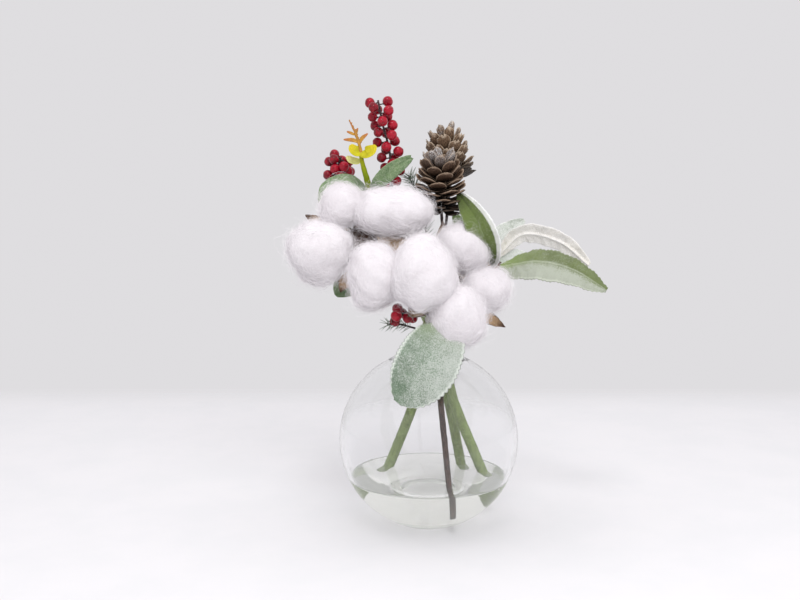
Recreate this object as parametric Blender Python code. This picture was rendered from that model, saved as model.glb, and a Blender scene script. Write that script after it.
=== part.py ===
"""Bunch of cotton stems with berries, pine cones and soft leaves, standing in a round glass vase.

Units are metres, +Z is up, and the origin is the centre of the vase's flat foot. +Y points away
from the side that the cotton faces. Layout points are written in millimetres and scaled by MM.
"""

import math

import bmesh
import bpy
from mathutils import Matrix, Vector

MM = 0.001
GAP = 0.3  # clearance between pieces that touch, mm
GOLDEN_ANGLE = math.radians(137.508)

# Vase and water
VASE_RADIUS = 55.0
VASE_WALL = 2.2
FOOT_RADIUS = 20.0
MOUTH_RADIUS = 18.0
FLOOR_THICKNESS = 5.0
RIM_BEAD = 1.9
VASE_CENTRE_Z = math.sqrt(VASE_RADIUS**2 - FOOT_RADIUS**2)
WATER_LEVEL = 28.6
VASE_SEGMENTS = 32

# Stems
TRUNK_RADIUS = 1.9
BRANCH_RADIUS = 1.7
GREEN_RADIUS = 3.2
TWIG_RADIUS = 0.9
BIND_OFFSET = TRUNK_RADIUS + TWIG_RADIUS + 2.4 * GAP

TRUNK = [(13, -31, 12.6), (6.6, -10, 80), (4.6, -3.4, 102), (2.4, 4, 124), (1, 9, 146)]
GREEN_STEM_FRONT = [
    (-29.8, 21.6, 15.6), (-10.7, 8, 67), (-6.4, 3.6, 87), (-5.6, 1, 100), (-4.4, -5, 113), (-1.4, -17, 127)
]
GREEN_STEM_BACK = [
    (24.2, 26.3, 15.2), (15.5, 15.5, 60), (10.4, 12.6, 82), (6, 11, 100), (2, 13.6, 115),
    (-4, 17, 130), (-11, 20.4, 145), (-18, 22.6, 160), (-26, 23, 178), (-33, 19, 194), (-36, 13.5, 203),
]
GREEN_STEM_RIGHT = [
    (38.1, 6.4, 19.2), (19, 1, 65), (13.4, 0.5, 82), (11, 2.4, 100), (12.6, 8, 113),
    (17.6, 14, 127), (25, 19, 140), (33, 21.5, 150), (40, 18.5, 157.5),
]

# Cotton heads: where the locks meet the bur, and which way the open boll faces
LEFT_HEAD = Vector((-42.4, -2.8, 173.2))
LEFT_FACING = Vector((-0.15, -0.85, 0.5)).normalized()
RIGHT_HEAD = Vector((12.6, -12.8, 148.1))
RIGHT_FACING = Vector((0.5, -0.77, 0.39)).normalized()
RECEPTACLE_DEPTH = 11.0
RECEPTACLE_RADIUS = 11.0
# Each valve of the bur: its angle round the boll in degrees, and its tip's distance
LEFT_VALVES = [(154, 39), (258, 35), (11, 37), (83, 32)]
RIGHT_VALVES = [(16, 42), (317, 41), (206, 40), (84, 40)]
VALVE_THICKNESS = 1.5
LOCK_SPACING = 0.6  # between neighbouring locks of one boll

# Each lock of cotton: centre and half sizes across, deep and high
LEFT_LOCKS = {
    "cotton_lock_left_top": ((-52.5, 0, 197.3), (15, 14, 14.5)),
    "cotton_lock_left_inner": ((-23, -8, 191), (24, 15, 17)),
    "cotton_lock_left_outer": ((-65.7, -12, 167.5), (22, 17, 19.5)),
    "cotton_lock_left_lower": ((-34.5, -25, 156.8), (18, 17, 22)),
}
RIGHT_LOCKS = {
    "cotton_lock_right_inner": ((-3.6, -32, 160), (21.5, 18, 24)),
    "cotton_lock_right_top": ((21.2, -8, 170.2), (16, 15, 17)),
    "cotton_lock_right_outer": ((36.6, -12, 144.2), (14.2, 14, 14.5)),
    "cotton_lock_right_lower": ((16.4, -30, 133.8), (18.5, 17, 18.5)),
}

# Berries
BERRY_RADIUS = 3.05
TALL_SPRAY = [(-22.5, 18, 196), (-22.6, 18, 207), (-24.3, 17, 228), (-28.2, 16, 243), (-30.6, 15, 255.5)]
SHORT_SPRAY = [(-49, 32, 196), (-53, 32, 207), (-56.5, 31, 215), (-54, 30, 222.5)]
LOW_SPRAY = [(-4, -2, 129.5), (-13, -13, 131.5), (-22, -21, 130)]

# Pine cones: base, tip and largest radius
LOWER_CONE = ((7.4, 11, 189.5), (5.6, 4, 226.5), 14.4)
UPPER_CONE = ((13.8, 29, 209), (11.2, 39, 246), 16.6)
CONE_SCALES_PER_TURN = 5.0


def clear_scene():
    for old in list(bpy.data.objects):
        bpy.data.objects.remove(old, do_unlink=True)


def finish(name, colour, roughness=0.6, transmission=0.0):
    """A Principled material in the piece's own colour."""
    made = bpy.data.materials.get(name) or bpy.data.materials.new(name)
    made.use_nodes = True
    shader = made.node_tree.nodes["Principled BSDF"]
    shader.inputs["Base Color"].default_value = (*colour, 1.0)
    shader.inputs["Roughness"].default_value = roughness
    shader.inputs["Metallic"].default_value = 0.0
    shader.inputs["Transmission Weight"].default_value = transmission
    return made


def link(name, shape, material=None):
    """Turns a bmesh in millimetres into a named object in metres."""
    bmesh.ops.recalc_face_normals(shape, faces=shape.faces)
    bmesh.ops.scale(shape, vec=(MM, MM, MM), verts=shape.verts)
    mesh = bpy.data.meshes.new(name)
    shape.to_mesh(mesh)
    shape.free()
    if material is not None:
        mesh.materials.append(material)
    mesh.shade_smooth()
    mesh.set_sharp_from_angle(angle=math.radians(50))
    made = bpy.data.objects.new(name, mesh)
    bpy.context.scene.collection.objects.link(made)
    return made


def helper(name, shape):
    """A shape that only cuts or joins another, and isn't a piece itself."""
    made = link(name, shape)
    made.hide_render = True
    made.display_type = "WIRE"
    return made


def combine(piece, other, operation):
    """Joins a helper to a piece, or cuts it away."""
    modifier = piece.modifiers.new(operation.title(), "BOOLEAN")
    modifier.operation = operation
    modifier.solver = "EXACT"
    modifier.object = other


def curve_point(points, t):
    """Catmull-Rom curve through the points, with t from 0 to 1."""
    last = len(points) - 1
    at = min(t * last, last - 1e-9)
    i = int(at)
    u = at - i
    b, c = Vector(points[i]), Vector(points[i + 1])
    a = Vector(points[i - 1]) if i > 0 else 2 * b - c
    d = Vector(points[i + 2]) if i + 2 <= last else 2 * c - b
    return 0.5 * (
        2 * b + (c - a) * u + (2 * a - 5 * b + 4 * c - d) * u * u + (3 * b - a - 3 * c + d) * u**3
    )


def smooth_path(points, count):
    return [curve_point(points, k / (count - 1)) for k in range(count)]


def frames(path, facing):
    """(tangent, side, normal) at each point, with the normal turned towards facing."""
    made = []
    for k in range(len(path)):
        ahead = path[min(k + 1, len(path) - 1)] - path[max(k - 1, 0)]
        tangent = ahead.normalized()
        side = tangent.cross(facing)
        if side.length < 1e-4:
            side = tangent.cross(Vector((0.3, 0.5, 0.8)))
        side.normalize()
        made.append((tangent, side, side.cross(tangent)))
    return made


def skin(rings):
    """A closed body from rings of points that all have the same count."""
    shape = bmesh.new()
    rows = [[shape.verts.new(p) for p in ring] for ring in rings]
    for near, far in zip(rows, rows[1:]):
        for k in range(len(near)):
            after = (k + 1) % len(near)
            shape.faces.new((near[k], near[after], far[after], far[k]))
    shape.faces.new(rows[0][::-1])
    shape.faces.new(rows[-1])
    return shape


def rod(points, start_radius, end_radius=None, count=14, sides=6, grow=0.0):
    """A round rod along a smooth curve, tapering evenly."""
    end_radius = start_radius if end_radius is None else end_radius
    path = smooth_path(points, count)
    rings = []
    for k, (_, side, normal) in enumerate(frames(path, Vector((0.2, 1.0, 0.1)))):
        radius = start_radius + (end_radius - start_radius) * k / (count - 1) + grow
        rings.append([
            path[k] + radius * (math.cos(a) * side + math.sin(a) * normal)
            for a in (2 * math.pi * n / sides for n in range(sides))
        ])
    return skin(rings)


def blade(x, widest):
    """Half width of a leaf blade, 0 to 1, where x runs from its base to its tip."""
    power = math.log(0.5) / math.log(widest)
    return max(math.sin(math.pi * x**power), 0.0) ** 0.75


def leaf(points, half_width, facing, petiole=0.15, widest=0.5, fold=0.25, thickness=1.3, count=9):
    """A leaf along a curve. fold lifts its two edges as a share of the half width."""
    path = smooth_path(points, count)
    stalk = thickness * 0.75
    across = [(-1, 0), (-0.5, 1), (0.5, 1), (1, 0), (0.5, -1), (-0.5, -1)]
    rings = []
    for k, (_, side, normal) in enumerate(frames(path, Vector(facing))):
        x = (k / (count - 1) - petiole) / (1 - petiole)
        width = stalk + (half_width - stalk) * blade(min(max(x, 0.0), 0.985), widest)
        height = thickness / 2 if x > 0 else stalk
        rings.append([
            path[k] + width * t * side + (height * up + fold * (width - stalk) * t * t) * normal
            for t, up in across
        ])
    return skin(rings)


def turned(profile, segments=VASE_SEGMENTS):
    """A closed body turned about Z from (radius, z) points whose ends lie on the axis."""
    shape = bmesh.new()
    points = [shape.verts.new((r, 0, z)) for r, z in profile]
    edges = [shape.edges.new(pair) for pair in zip(points, points[1:])]
    bmesh.ops.spin(
        shape, geom=points + edges, cent=(0, 0, 0), axis=(0, 0, 1),
        angle=2 * math.pi, steps=segments, use_merge=True, use_duplicate=False,
    )
    bmesh.ops.remove_doubles(shape, verts=shape.verts, dist=1e-4)
    return shape


def arc(radius, centre_z, start_deg, end_deg, count):
    """(radius, z) points on a circle centred on the axis, with angles measured up from level."""
    angles = [math.radians(start_deg + (end_deg - start_deg) * k / (count - 1)) for k in range(count)]
    return [(radius * math.cos(a), centre_z + radius * math.sin(a)) for a in angles]


def level_angle(radius, height):
    """Angle up from level where a sphere about the vase's centre has this height above the foot."""
    return math.degrees(math.asin((height - VASE_CENTRE_Z) / radius))


# --- vase and water ---------------------------------------------------------------------------

def make_vase():
    inside = VASE_RADIUS - VASE_WALL
    mouth_z = VASE_CENTRE_Z + math.sqrt(inside**2 - MOUTH_RADIUS**2)
    foot_angle = level_angle(VASE_RADIUS, 0.0)
    neck_angle = level_angle(VASE_RADIUS, mouth_z + 0.6)
    bead = (MOUTH_RADIUS + 0.9, mouth_z + 0.8)
    lip = [
        (bead[0] + RIM_BEAD * math.cos(a), bead[1] + RIM_BEAD * math.sin(a))
        for a in (math.radians(d) for d in (40, 100, 170))
    ]
    profile = (
        [(0, 0)]
        + arc(VASE_RADIUS, VASE_CENTRE_Z, foot_angle, neck_angle, 10)
        + lip
        + arc(inside, VASE_CENTRE_Z, level_angle(inside, mouth_z - 1.5), level_angle(inside, FLOOR_THICKNESS + 1), 9)
        + [(FOOT_RADIUS - 1, FLOOR_THICKNESS)]
        + [(0, FLOOR_THICKNESS)]
    )
    glass = finish("clear_glass", (0.93, 0.96, 0.95), 0.02, 1.0)
    link("glass_vase", turned(profile), glass)


def make_water(stems):
    inside = VASE_RADIUS - VASE_WALL - 3 * GAP
    bottom = FLOOR_THICKNESS + GAP
    wall = arc(inside, VASE_CENTRE_Z, level_angle(inside, bottom + 1.5), level_angle(inside, WATER_LEVEL), 6)
    profile = [(0, bottom), (FOOT_RADIUS - 1.5, bottom)] + wall + [(0, WATER_LEVEL)]
    water = link("water", turned(profile), finish("water", (0.86, 0.92, 0.9), 0.02, 1.0))
    for name, shape in stems.items():
        combine(water, helper("space_for_" + name, shape), "DIFFERENCE")


# --- cotton -----------------------------------------------------------------------------------

def head_frame(centre, facing):
    """Matrix from a boll's own frame to the part: local Z is its facing, local X is level."""
    across = Vector((0, 0, 1)).cross(facing).normalized()
    up = facing.cross(across)
    return Matrix.Translation(centre) @ Matrix((across, up, facing)).transposed().to_4x4()


def valve(reach):
    """One pointed valve of a bur, lying along +X behind the locks."""
    start, stations = 4.0, 5
    rings = []
    for k in range(stations):
        t = k / (stations - 1)
        width = 6.2 * math.sin(math.pi * (0.3 + 0.69 * t)) + 0.15
        drop = -0.15 - 1.6 * math.sin(math.pi * t)
        back = VALVE_THICKNESS * (1.35 if t < 0.99 else 0.35)
        rings.append([
            Vector((start + (reach - start) * t, y * width, drop - z * back))
            for y, z in ((-1, 0.3), (-0.5, 0.9), (0.5, 0.9), (1, 0.3), (0.45, 0.05), (-0.45, 0.05))
        ])
    return skin(rings)


def receptacle():
    """The woody cup at the back of a boll, with the cut for its branch left to the branch."""
    profile = [
        (0, -RECEPTACLE_DEPTH), (2.6, -RECEPTACLE_DEPTH), (4.5, -RECEPTACLE_DEPTH + 2),
        (8.5, -5.5), (RECEPTACLE_RADIUS, -2.2), (RECEPTACLE_RADIUS - 0.6, -0.1), (0, -0.1),
    ]
    return turned(profile, 12)


def make_bur(name, centre, facing, valves):
    place = head_frame(centre, facing)
    cup = receptacle()
    bmesh.ops.transform(cup, matrix=place, verts=cup.verts)
    bur = link(name, cup, finish("dry_bur", (0.16, 0.085, 0.04), 0.7))
    for n, (angle, reach) in enumerate(valves):
        part = valve(reach)
        turn = place @ Matrix.Rotation(math.radians(angle), 4, "Z")
        bmesh.ops.transform(part, matrix=turn, verts=part.verts)
        combine(bur, helper(f"{name}_valve_{n}", part), "UNION")


def keep_side(shape, point, normal):
    """Cuts a convex shape by a plane and keeps what lies behind the normal."""
    cut = bmesh.ops.bisect_plane(
        shape, geom=shape.verts[:] + shape.edges[:] + shape.faces[:],
        dist=1e-4, plane_co=point, plane_no=normal, clear_outer=True,
    )
    rim = [e for e in cut["geom_cut"] if isinstance(e, bmesh.types.BMEdge)]
    if rim:
        bmesh.ops.holes_fill(shape, edges=rim)


def meeting_plane(first, second):
    """(point, direction) of the plane where two locks press on each other."""
    (a, sizes_a), (b, sizes_b) = first, second
    line = Vector(b) - Vector(a)
    way = line.normalized()
    reach = [1 / math.sqrt(sum((way[k] / s[k]) ** 2 for k in range(3))) for s in (sizes_a, sizes_b)]
    share = reach[0] / (reach[0] + reach[1])
    return Vector(a) + line * share, way


def make_locks():
    cotton = finish("raw_cotton", (0.93, 0.92, 0.91), 0.95)
    heads = ((LEFT_LOCKS, LEFT_HEAD, LEFT_FACING), (RIGHT_LOCKS, RIGHT_HEAD, RIGHT_FACING))
    for locks, centre, facing in heads:
        for name, (middle, sizes) in locks.items():
            shape = bmesh.new()
            bmesh.ops.create_uvsphere(shape, u_segments=14, v_segments=9, radius=1.0)
            bmesh.ops.scale(shape, vec=sizes, verts=shape.verts)
            bmesh.ops.translate(shape, vec=middle, verts=shape.verts)
            keep_side(shape, centre + facing * GAP, -facing)
            for others, _, _ in heads:
                spacing = LOCK_SPACING if others is locks else GAP
                for other in others:
                    if other != name:
                        point, way = meeting_plane((middle, sizes), others[other])
                        keep_side(shape, point - way * spacing / 2, way)
            link(name, shape, cotton)


# --- stems ------------------------------------------------------------------------------------

def bound_to_trunk(angle_deg, share):
    """Two points where a twig lies against the trunk, share of the way up it."""
    out = Vector((math.cos(math.radians(angle_deg)), math.sin(math.radians(angle_deg)), 0))
    return [curve_point(TRUNK, share - step) + out * BIND_OFFSET for step in (0.0, 0.045)]


def make_stems():
    bark = finish("brown_bark", (0.12, 0.075, 0.045), 0.75)
    green = finish("green_stem", (0.3, 0.4, 0.17), 0.55)
    link("cotton_stem_trunk", rod(TRUNK, TRUNK_RADIUS, count=12), bark)
    link("lambs_ear_stem_front", rod(GREEN_STEM_FRONT, GREEN_RADIUS, 2.2, count=12), green)
    link("frosted_sprig_stem", rod(GREEN_STEM_BACK, GREEN_RADIUS, 1.6, count=19), green)
    link("lambs_ear_stem_right", rod(GREEN_STEM_RIGHT, GREEN_RADIUS, 2.4, count=16), green)

    around_trunk = helper("clear_of_trunk", rod(TRUNK, TRUNK_RADIUS, count=12, grow=GAP))
    left_foot = LEFT_HEAD - LEFT_FACING * (RECEPTACLE_DEPTH + 2.5 * GAP)
    left = [(1.5, 8, 142), (-8, 9.5, 149), (-28, 13, 160), left_foot - LEFT_FACING * 4, left_foot]
    branch = link("cotton_branch_left", rod(left, BRANCH_RADIUS, count=10), bark)
    combine(branch, around_trunk, "DIFFERENCE")
    right_foot = RIGHT_HEAD - RIGHT_FACING * (RECEPTACLE_DEPTH + 2.5 * GAP)
    right = [(2.2, 5, 127), (3.6, 3.2, 135), right_foot - RIGHT_FACING * 2.5, right_foot]
    branch = link("cotton_branch_right", rod(right, BRANCH_RADIUS, count=8), bark)
    combine(branch, around_trunk, "DIFFERENCE")


def make_cone_wires():
    bark = finish("brown_bark", (0.12, 0.075, 0.045), 0.75)
    lower_foot, upper_foot = Vector(LOWER_CONE[0]), Vector(UPPER_CONE[0])
    down = Vector((0, 0, -2 * GAP))
    lower = [lower_foot + down, (8.2, 12.4, 178), (6.6, 12.6, 162)] + bound_to_trunk(20, 0.97)
    upper = [upper_foot + down, (12.4, 25.5, 194), (9, 20, 168)] + bound_to_trunk(68, 0.99)
    link("pine_cone_wire_lower", rod(lower, TWIG_RADIUS, count=10), bark)
    link("pine_cone_wire_upper", rod(upper, TWIG_RADIUS, count=12), bark)


# --- berries and needles ----------------------------------------------------------------------

def ball(centre, radius):
    shape = bmesh.new()
    bmesh.ops.create_uvsphere(shape, u_segments=6, v_segments=4, radius=radius)
    bmesh.ops.translate(shape, vec=centre, verts=shape.verts)
    return shape


def berry_places(route, count, first, spread, flare):
    """(foot on the twig, centre) of each berry, a golden angle round the twig from the last."""
    places = []
    for k in range(count):
        t = first + (1.0 - first) * k / (count - 1)
        here = curve_point(route, t)
        along = (curve_point(route, min(t + 0.02, 1.0)) - curve_point(route, t - 0.02)).normalized()
        side = along.cross(Vector((0, 1, 0))).normalized()
        other = along.cross(side)
        turn = k * GOLDEN_ANGLE
        reach = spread * (1.0 + 0.16 * math.sin(5.0 * k)) * (1.0 + (flare - 1.0) * k / (count - 1))
        places.append((here, here + reach * (math.cos(turn) * side + math.sin(turn) * other)))
    return places


def make_spray(name, route, foot, count, first, spread, flare):
    """A twig with its berries grown on it, as one body."""
    red = finish("red_berry", (0.35, 0.01, 0.02), 0.25)
    twig = link(name, rod(list(foot) + list(route), TWIG_RADIUS, count=14), red)
    for n, (here, centre) in enumerate(berry_places(route, count, first, spread, flare)):
        combine(twig, helper(f"{name}_stalk_{n}", rod([here, centre], 0.5, count=2, sides=3)), "UNION")
        combine(twig, helper(f"{name}_berry_{n}", ball(centre, BERRY_RADIUS)), "UNION")


def make_berries():
    tall_foot = bound_to_trunk(112, 0.985)[::-1] + [(-3, 16, 158), (-13, 19, 176)]
    make_spray("berry_spray_tall", TALL_SPRAY, tall_foot, 24, 0.2, 4.0, 1.8)
    short_foot = bound_to_trunk(160, 0.94)[::-1] + [(-9, 29.5, 152), (-29, 34, 173)]
    make_spray("berry_spray_short", SHORT_SPRAY, short_foot, 11, 0.3, 7.0, 0.9)
    low_foot = bound_to_trunk(215, 0.82)[::-1]
    make_spray("berry_spray_low", LOW_SPRAY, low_foot, 6, 0.35, 2.6, 1.1)


def needle(root, tip, radius=0.5):
    return rod([root, tip], radius, 0.22, count=2, sides=3)


def make_needle_sprig(name, route, count, first, length, lean):
    """A twig with pine needles standing out round it, as one body."""
    dark = finish("pine_needle", (0.08, 0.13, 0.08), 0.6)
    sprig = link(name, rod(route, 0.8, 0.5, count=9), dark)
    for k in range(count):
        t = first + (0.99 - first) * k / (count - 1)
        here = curve_point(route, t)
        along = (curve_point(route, min(t + 0.05, 1)) - curve_point(route, t - 0.05)).normalized()
        side = along.cross(Vector((0, 1, 0))).normalized()
        other = along.cross(side)
        turn = k * GOLDEN_ANGLE
        out = (math.cos(turn) * side + math.sin(turn) * other + lean * along).normalized()
        combine(sprig, helper(f"{name}_needle_{k}", needle(here, here + out * length)), "UNION")


def make_needles():
    upper = bound_to_trunk(95, 0.9)[::-1] + [(0, 19, 151), (-0.6, 22, 163), (-5, 23, 184), (-7.6, 22, 198), (-10.8, 21, 210)]
    make_needle_sprig("pine_needle_sprig_upper", upper, 12, 0.8, 7, 0.9)
    low = bound_to_trunk(190, 0.7)[::-1] + [(-8, -7, 119.8), (-16, -15, 120.6), (-24, -22, 121)]
    make_needle_sprig("pine_needle_sprig_low", low, 9, 0.73, 6.0, 1.3)


# --- pine cones -------------------------------------------------------------------------------

def cone_radius(t, angle, largest):
    """Radius of a pine cone at share t of its length, with its scales as spiral bumps."""
    body = math.sin(math.pi * (0.1 + 0.84 * t) ** 0.82) ** 0.6
    rows = 7.0
    spiral = math.cos(rows * 2 * math.pi * t - angle) * math.cos(CONE_SCALES_PER_TURN * angle + rows * math.pi * t)
    return largest * body * (0.86 + 0.14 * spiral)


def make_pine_cone(name, base, tip, largest):
    base, tip = Vector(base), Vector(tip)
    across = (tip - base).normalized().orthogonal().normalized()
    along = (tip - base).normalized()
    other = along.cross(across)
    rings = []
    for k in range(13):
        t = k / 12
        rings.append([
            base + (tip - base) * t + cone_radius(t, a, largest) * (math.cos(a) * across + math.sin(a) * other)
            for a in (2 * math.pi * n / 16 for n in range(16))
        ])
    link(name, skin(rings), finish("cone_scale", (0.17, 0.11, 0.075), 0.75))


# --- leaves -----------------------------------------------------------------------------------

def make_leaves():
    woolly = finish("woolly_leaf", (0.42, 0.5, 0.36), 0.9)
    frosted = finish("frosted_leaf", (0.22, 0.36, 0.2), 0.75)
    shoot = finish("young_shoot", (0.5, 0.5, 0.03), 0.5)
    tip = finish("shoot_tip", (0.5, 0.22, 0.08), 0.55)
    front = rod(GREEN_STEM_FRONT, GREEN_RADIUS, 2.2, count=12, grow=GAP)
    right = rod(GREEN_STEM_RIGHT, GREEN_RADIUS, 2.4, count=16, grow=GAP)
    back = rod(GREEN_STEM_BACK, GREEN_RADIUS, 1.6, count=19, grow=GAP)
    shoot_clearance = rod(shoot_stalk(), 1.5, 0.9, count=9, grow=GAP)
    stems = {
        "front": [helper("clear_of_front_stem", front)],
        "right": [helper("clear_of_right_stem", right)],
        "back": [helper("clear_of_back_stem", back), helper("clear_of_shoot", shoot_clearance)],
    }
    rows = [
        # name, material, stem, share of the stem where it grows, route, half width, facing, petiole, widest, fold
        ("lambs_ear_leaf_front", woolly, "front", 0.985,
         [(-3.8, -31, 125), (-4, -46, 112), (-7.6, -50, 97.5), (-12.6, -52, 83.5)],
         19.5, (0.1, -1, 0.35), 0.22, 0.56, -0.12),
        ("lambs_ear_leaf_right", woolly, "right", 0.967,
         [(48.5, 9, 157.5), (66, -2, 161), (86, -7, 156.5), (106, -10, 144.5)],
         12, (0.1, -0.75, 0.75), 0.16, 0.42, -0.2),
        ("lambs_ear_leaf_arching", woolly, "right", 0.967,
         [(47, 23, 166.5), (60, 22, 177), (82, 20, 172), (100, 17, 157.5)],
         6, (0.1, -0.5, -0.8), 0.2, 0.55, 0.5),
        ("lambs_ear_leaf_back", woolly, "right", 0.94,
         [(37.5, 27, 163), (46.5, 31, 174), (61, 32, 184.5)],
         7, (0, -0.9, 0.4), 0.32, 0.5, 0.2),
        ("lambs_ear_leaf_low", woolly, "right", 0.925,
         [(45, 28, 157), (55, 30, 161), (65, 28, 159.5)],
         7, (0, -0.8, 0.6), 0.3, 0.5, -0.2),
        ("lambs_ear_leaf_upright", woolly, "right", 0.967,
         [(38.6, 12.5, 168.5), (34, 14, 183.5), (26.5, 19, 194.2), (21.5, 23.5, 200.7)],
         7, (-0.55, -0.8, 0.1), 0.16, 0.5, 0.35),
        ("lambs_ear_leaf_small", woolly, "right", 0.755,
         [(24.6, 24, 160), (21, 24, 178), (16, 21.5, 189)],
         4.2, (0, -1, 0.2), 0.5, 0.5, 0.2),
        ("frosted_leaf_left", frosted, "back", 0.975,
         [(-42, 16, 208.5), (-51, 17, 211.5), (-60.5, 17, 208), (-67, 15, 199)],
         8.6, (0.1, -0.8, 0.55), 0.16, 0.5, -0.15),
        ("frosted_leaf_right", frosted, "back", 0.975,
         [(-30, 9, 208), (-22, 7, 214), (-10, 7, 222)],
         5.2, (0.45, -0.85, -0.1), 0.2, 0.55, 0.15),
        ("frosted_leaf_low", frosted, "back", 0.685,
         [(-30, 23, 157), (-42, 17, 151), (-51, 11.5, 145), (-57, 8, 139)],
         7.6, (0, -0.9, 0.3), 0.4, 0.55, -0.1),
    ]
    axes = {"front": GREEN_STEM_FRONT, "right": GREEN_STEM_RIGHT, "back": GREEN_STEM_BACK}
    for name, material, stem, share, route, width, facing, petiole, widest, fold in rows:
        grown = leaf([curve_point(axes[stem], share)] + route, width, facing, petiole, widest, fold)
        made = link(name, grown, material)
        for clearance in stems[stem]:
            combine(made, clearance, "DIFFERENCE")
    make_shoot(shoot, tip, stems["back"][1])


def shoot_stalk():
    foot = Vector(GREEN_STEM_BACK[-1]) + Vector((-0.3, -0.5, 2 * GAP))
    return [foot, (-38, 9, 212), (-40, 7.8, 222), (-41.4, 7.4, 229)]


def make_shoot(shoot, tip, around):
    """The young growth at the top of the frosted sprig."""
    stalk = shoot_stalk()
    link("shoot_stalk", rod(stalk, 1.5, 0.9, count=9), shoot)
    cups = {
        "shoot_leaf_right": [(-40.4, 7.6, 224.6), (-37.4, 6.2, 224), (-34.4, 5, 227), (-32.9, 4.5, 231)],
        "shoot_leaf_left": [(-40.7, 7.6, 225.6), (-43.6, 6.4, 225.6), (-46.2, 6, 228.4), (-47, 6, 231.4)],
        "shoot_leaf_pale": [(-40.1, 7.8, 222), (-43.4, 9, 221.4), (-47, 11, 221.8), (-49.6, 12, 223.6)],
    }
    for name, route in cups.items():
        made = link(name, leaf(route, 3.0, (0, -0.6, 0.8), 0.14, 0.5, 0.3, 0.9, 7), shoot)
        combine(made, around, "DIFFERENCE")
    spear = [Vector(stalk[-1]) + Vector((0, 0, 2 * GAP)), (-43, 7, 235), (-46, 6.6, 242), (-48, 6.4, 247.5)]
    made = link("shoot_tip", rod(spear, 0.75, 0.3, count=6), tip)
    leaflets = [
        [(-42.6, 7.2, 233), (-46, 6, 235), (-52, 5, 235.6)],
        [(-42.6, 7.2, 233), (-40, 6, 236.5), (-35.6, 5, 240)],
        [(-44.6, 6.8, 238), (-47.6, 5.6, 239.4), (-49.6, 5, 241)],
        [(-44.4, 6.8, 237.6), (-43.6, 6, 240.6), (-42.8, 5.6, 243)],
    ]
    for n, route in enumerate(leaflets):
        part = leaf(route, 1.3, (0, -1, 0.3), 0.05, 0.5, 0.1, 0.8, 5)
        combine(made, helper(f"shoot_tip_leaflet_{n}", part), "UNION")


def main():
    clear_scene()
    make_vase()
    make_stems()
    make_water({
        "trunk": rod(TRUNK, TRUNK_RADIUS, count=12, grow=GAP),
        "front_stem": rod(GREEN_STEM_FRONT, GREEN_RADIUS, 2.2, count=12, grow=GAP),
        "back_stem": rod(GREEN_STEM_BACK, GREEN_RADIUS, 1.6, count=19, grow=GAP),
        "right_stem": rod(GREEN_STEM_RIGHT, GREEN_RADIUS, 2.4, count=16, grow=GAP),
    })
    make_bur("cotton_bur_left", LEFT_HEAD, LEFT_FACING, LEFT_VALVES)
    make_bur("cotton_bur_right", RIGHT_HEAD, RIGHT_FACING, RIGHT_VALVES)
    make_locks()
    make_cone_wires()
    make_berries()
    make_needles()
    make_pine_cone("pine_cone_lower", *LOWER_CONE)
    make_pine_cone("pine_cone_upper", *UPPER_CONE)
    make_leaves()


main()
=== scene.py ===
"""A bunch of cotton stems with berries, pine cones and leaves in a round glass vase.

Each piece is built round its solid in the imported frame. Shapes are worked out in millimetres, with X to the
right, Y away from the front and Z up from the middle of the vase's foot.
"""

import math

import bpy
import numpy as np
from bpy.props import FloatProperty, FloatVectorProperty, IntProperty, PointerProperty
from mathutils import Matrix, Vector


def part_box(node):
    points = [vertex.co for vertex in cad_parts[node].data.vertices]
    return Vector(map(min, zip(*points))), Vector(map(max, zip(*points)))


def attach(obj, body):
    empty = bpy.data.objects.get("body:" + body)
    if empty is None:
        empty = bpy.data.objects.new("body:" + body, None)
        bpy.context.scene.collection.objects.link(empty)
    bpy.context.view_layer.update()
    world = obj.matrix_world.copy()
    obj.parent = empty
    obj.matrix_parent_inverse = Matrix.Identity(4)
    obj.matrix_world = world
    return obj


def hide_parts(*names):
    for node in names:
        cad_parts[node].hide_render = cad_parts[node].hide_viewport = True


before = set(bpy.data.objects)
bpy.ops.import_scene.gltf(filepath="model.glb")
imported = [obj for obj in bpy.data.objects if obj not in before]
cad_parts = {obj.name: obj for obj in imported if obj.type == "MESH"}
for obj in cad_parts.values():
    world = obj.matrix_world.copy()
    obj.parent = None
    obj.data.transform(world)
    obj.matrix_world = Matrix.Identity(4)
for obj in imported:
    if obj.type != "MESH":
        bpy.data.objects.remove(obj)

bl_info = {
    "name": "Cotton Stem Bunch",
    "version": (1, 0, 0),
    "blender": (4, 5, 0),
    "location": "3D View > Sidebar > Cotton Bunch",
    "description": "Builds cotton, berries, cones and leaves in a round glass vase",
    "category": "Object",
}

MM = 0.001
TO_MM = 1000.0
GOLDEN_TURN = math.radians(137.508)

# --- Routes of the stems, as points along each one's middle ---

TRUNK = [(13, -31, 12.6), (6.6, -10, 80), (4.6, -3.4, 102), (2.4, 4, 124), (1, 9, 146)]
FRONT_STEM = [
    (-29.8, 21.6, 15.6), (-10.7, 8, 67), (-6.4, 3.6, 87), (-5.6, 1, 100), (-4.4, -5, 113), (-1.4, -17, 127)
]
SPRIG_STEM = [
    (24.2, 26.3, 15.2), (15.5, 15.5, 60), (10.4, 12.6, 82), (6, 11, 100), (2, 13.6, 115), (-4, 17, 130),
    (-11, 20.4, 145), (-18, 22.6, 160), (-26, 23, 178), (-33, 19, 194), (-36, 13.5, 203),
]
RIGHT_STEM = [
    (38.1, 6.4, 19.2), (19, 1, 65), (13.4, 0.5, 82), (11, 2.4, 100), (12.6, 8, 113), (17.6, 14, 127),
    (25, 19, 140), (33, 21.5, 150), (40, 18.5, 157.5),
]
BIND_OFFSET = 3.5
BIND_STEP = 0.045

# --- Cotton heads: middle, facing, and each lock's middle, half sizes and how far its top is drawn in ---

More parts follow.
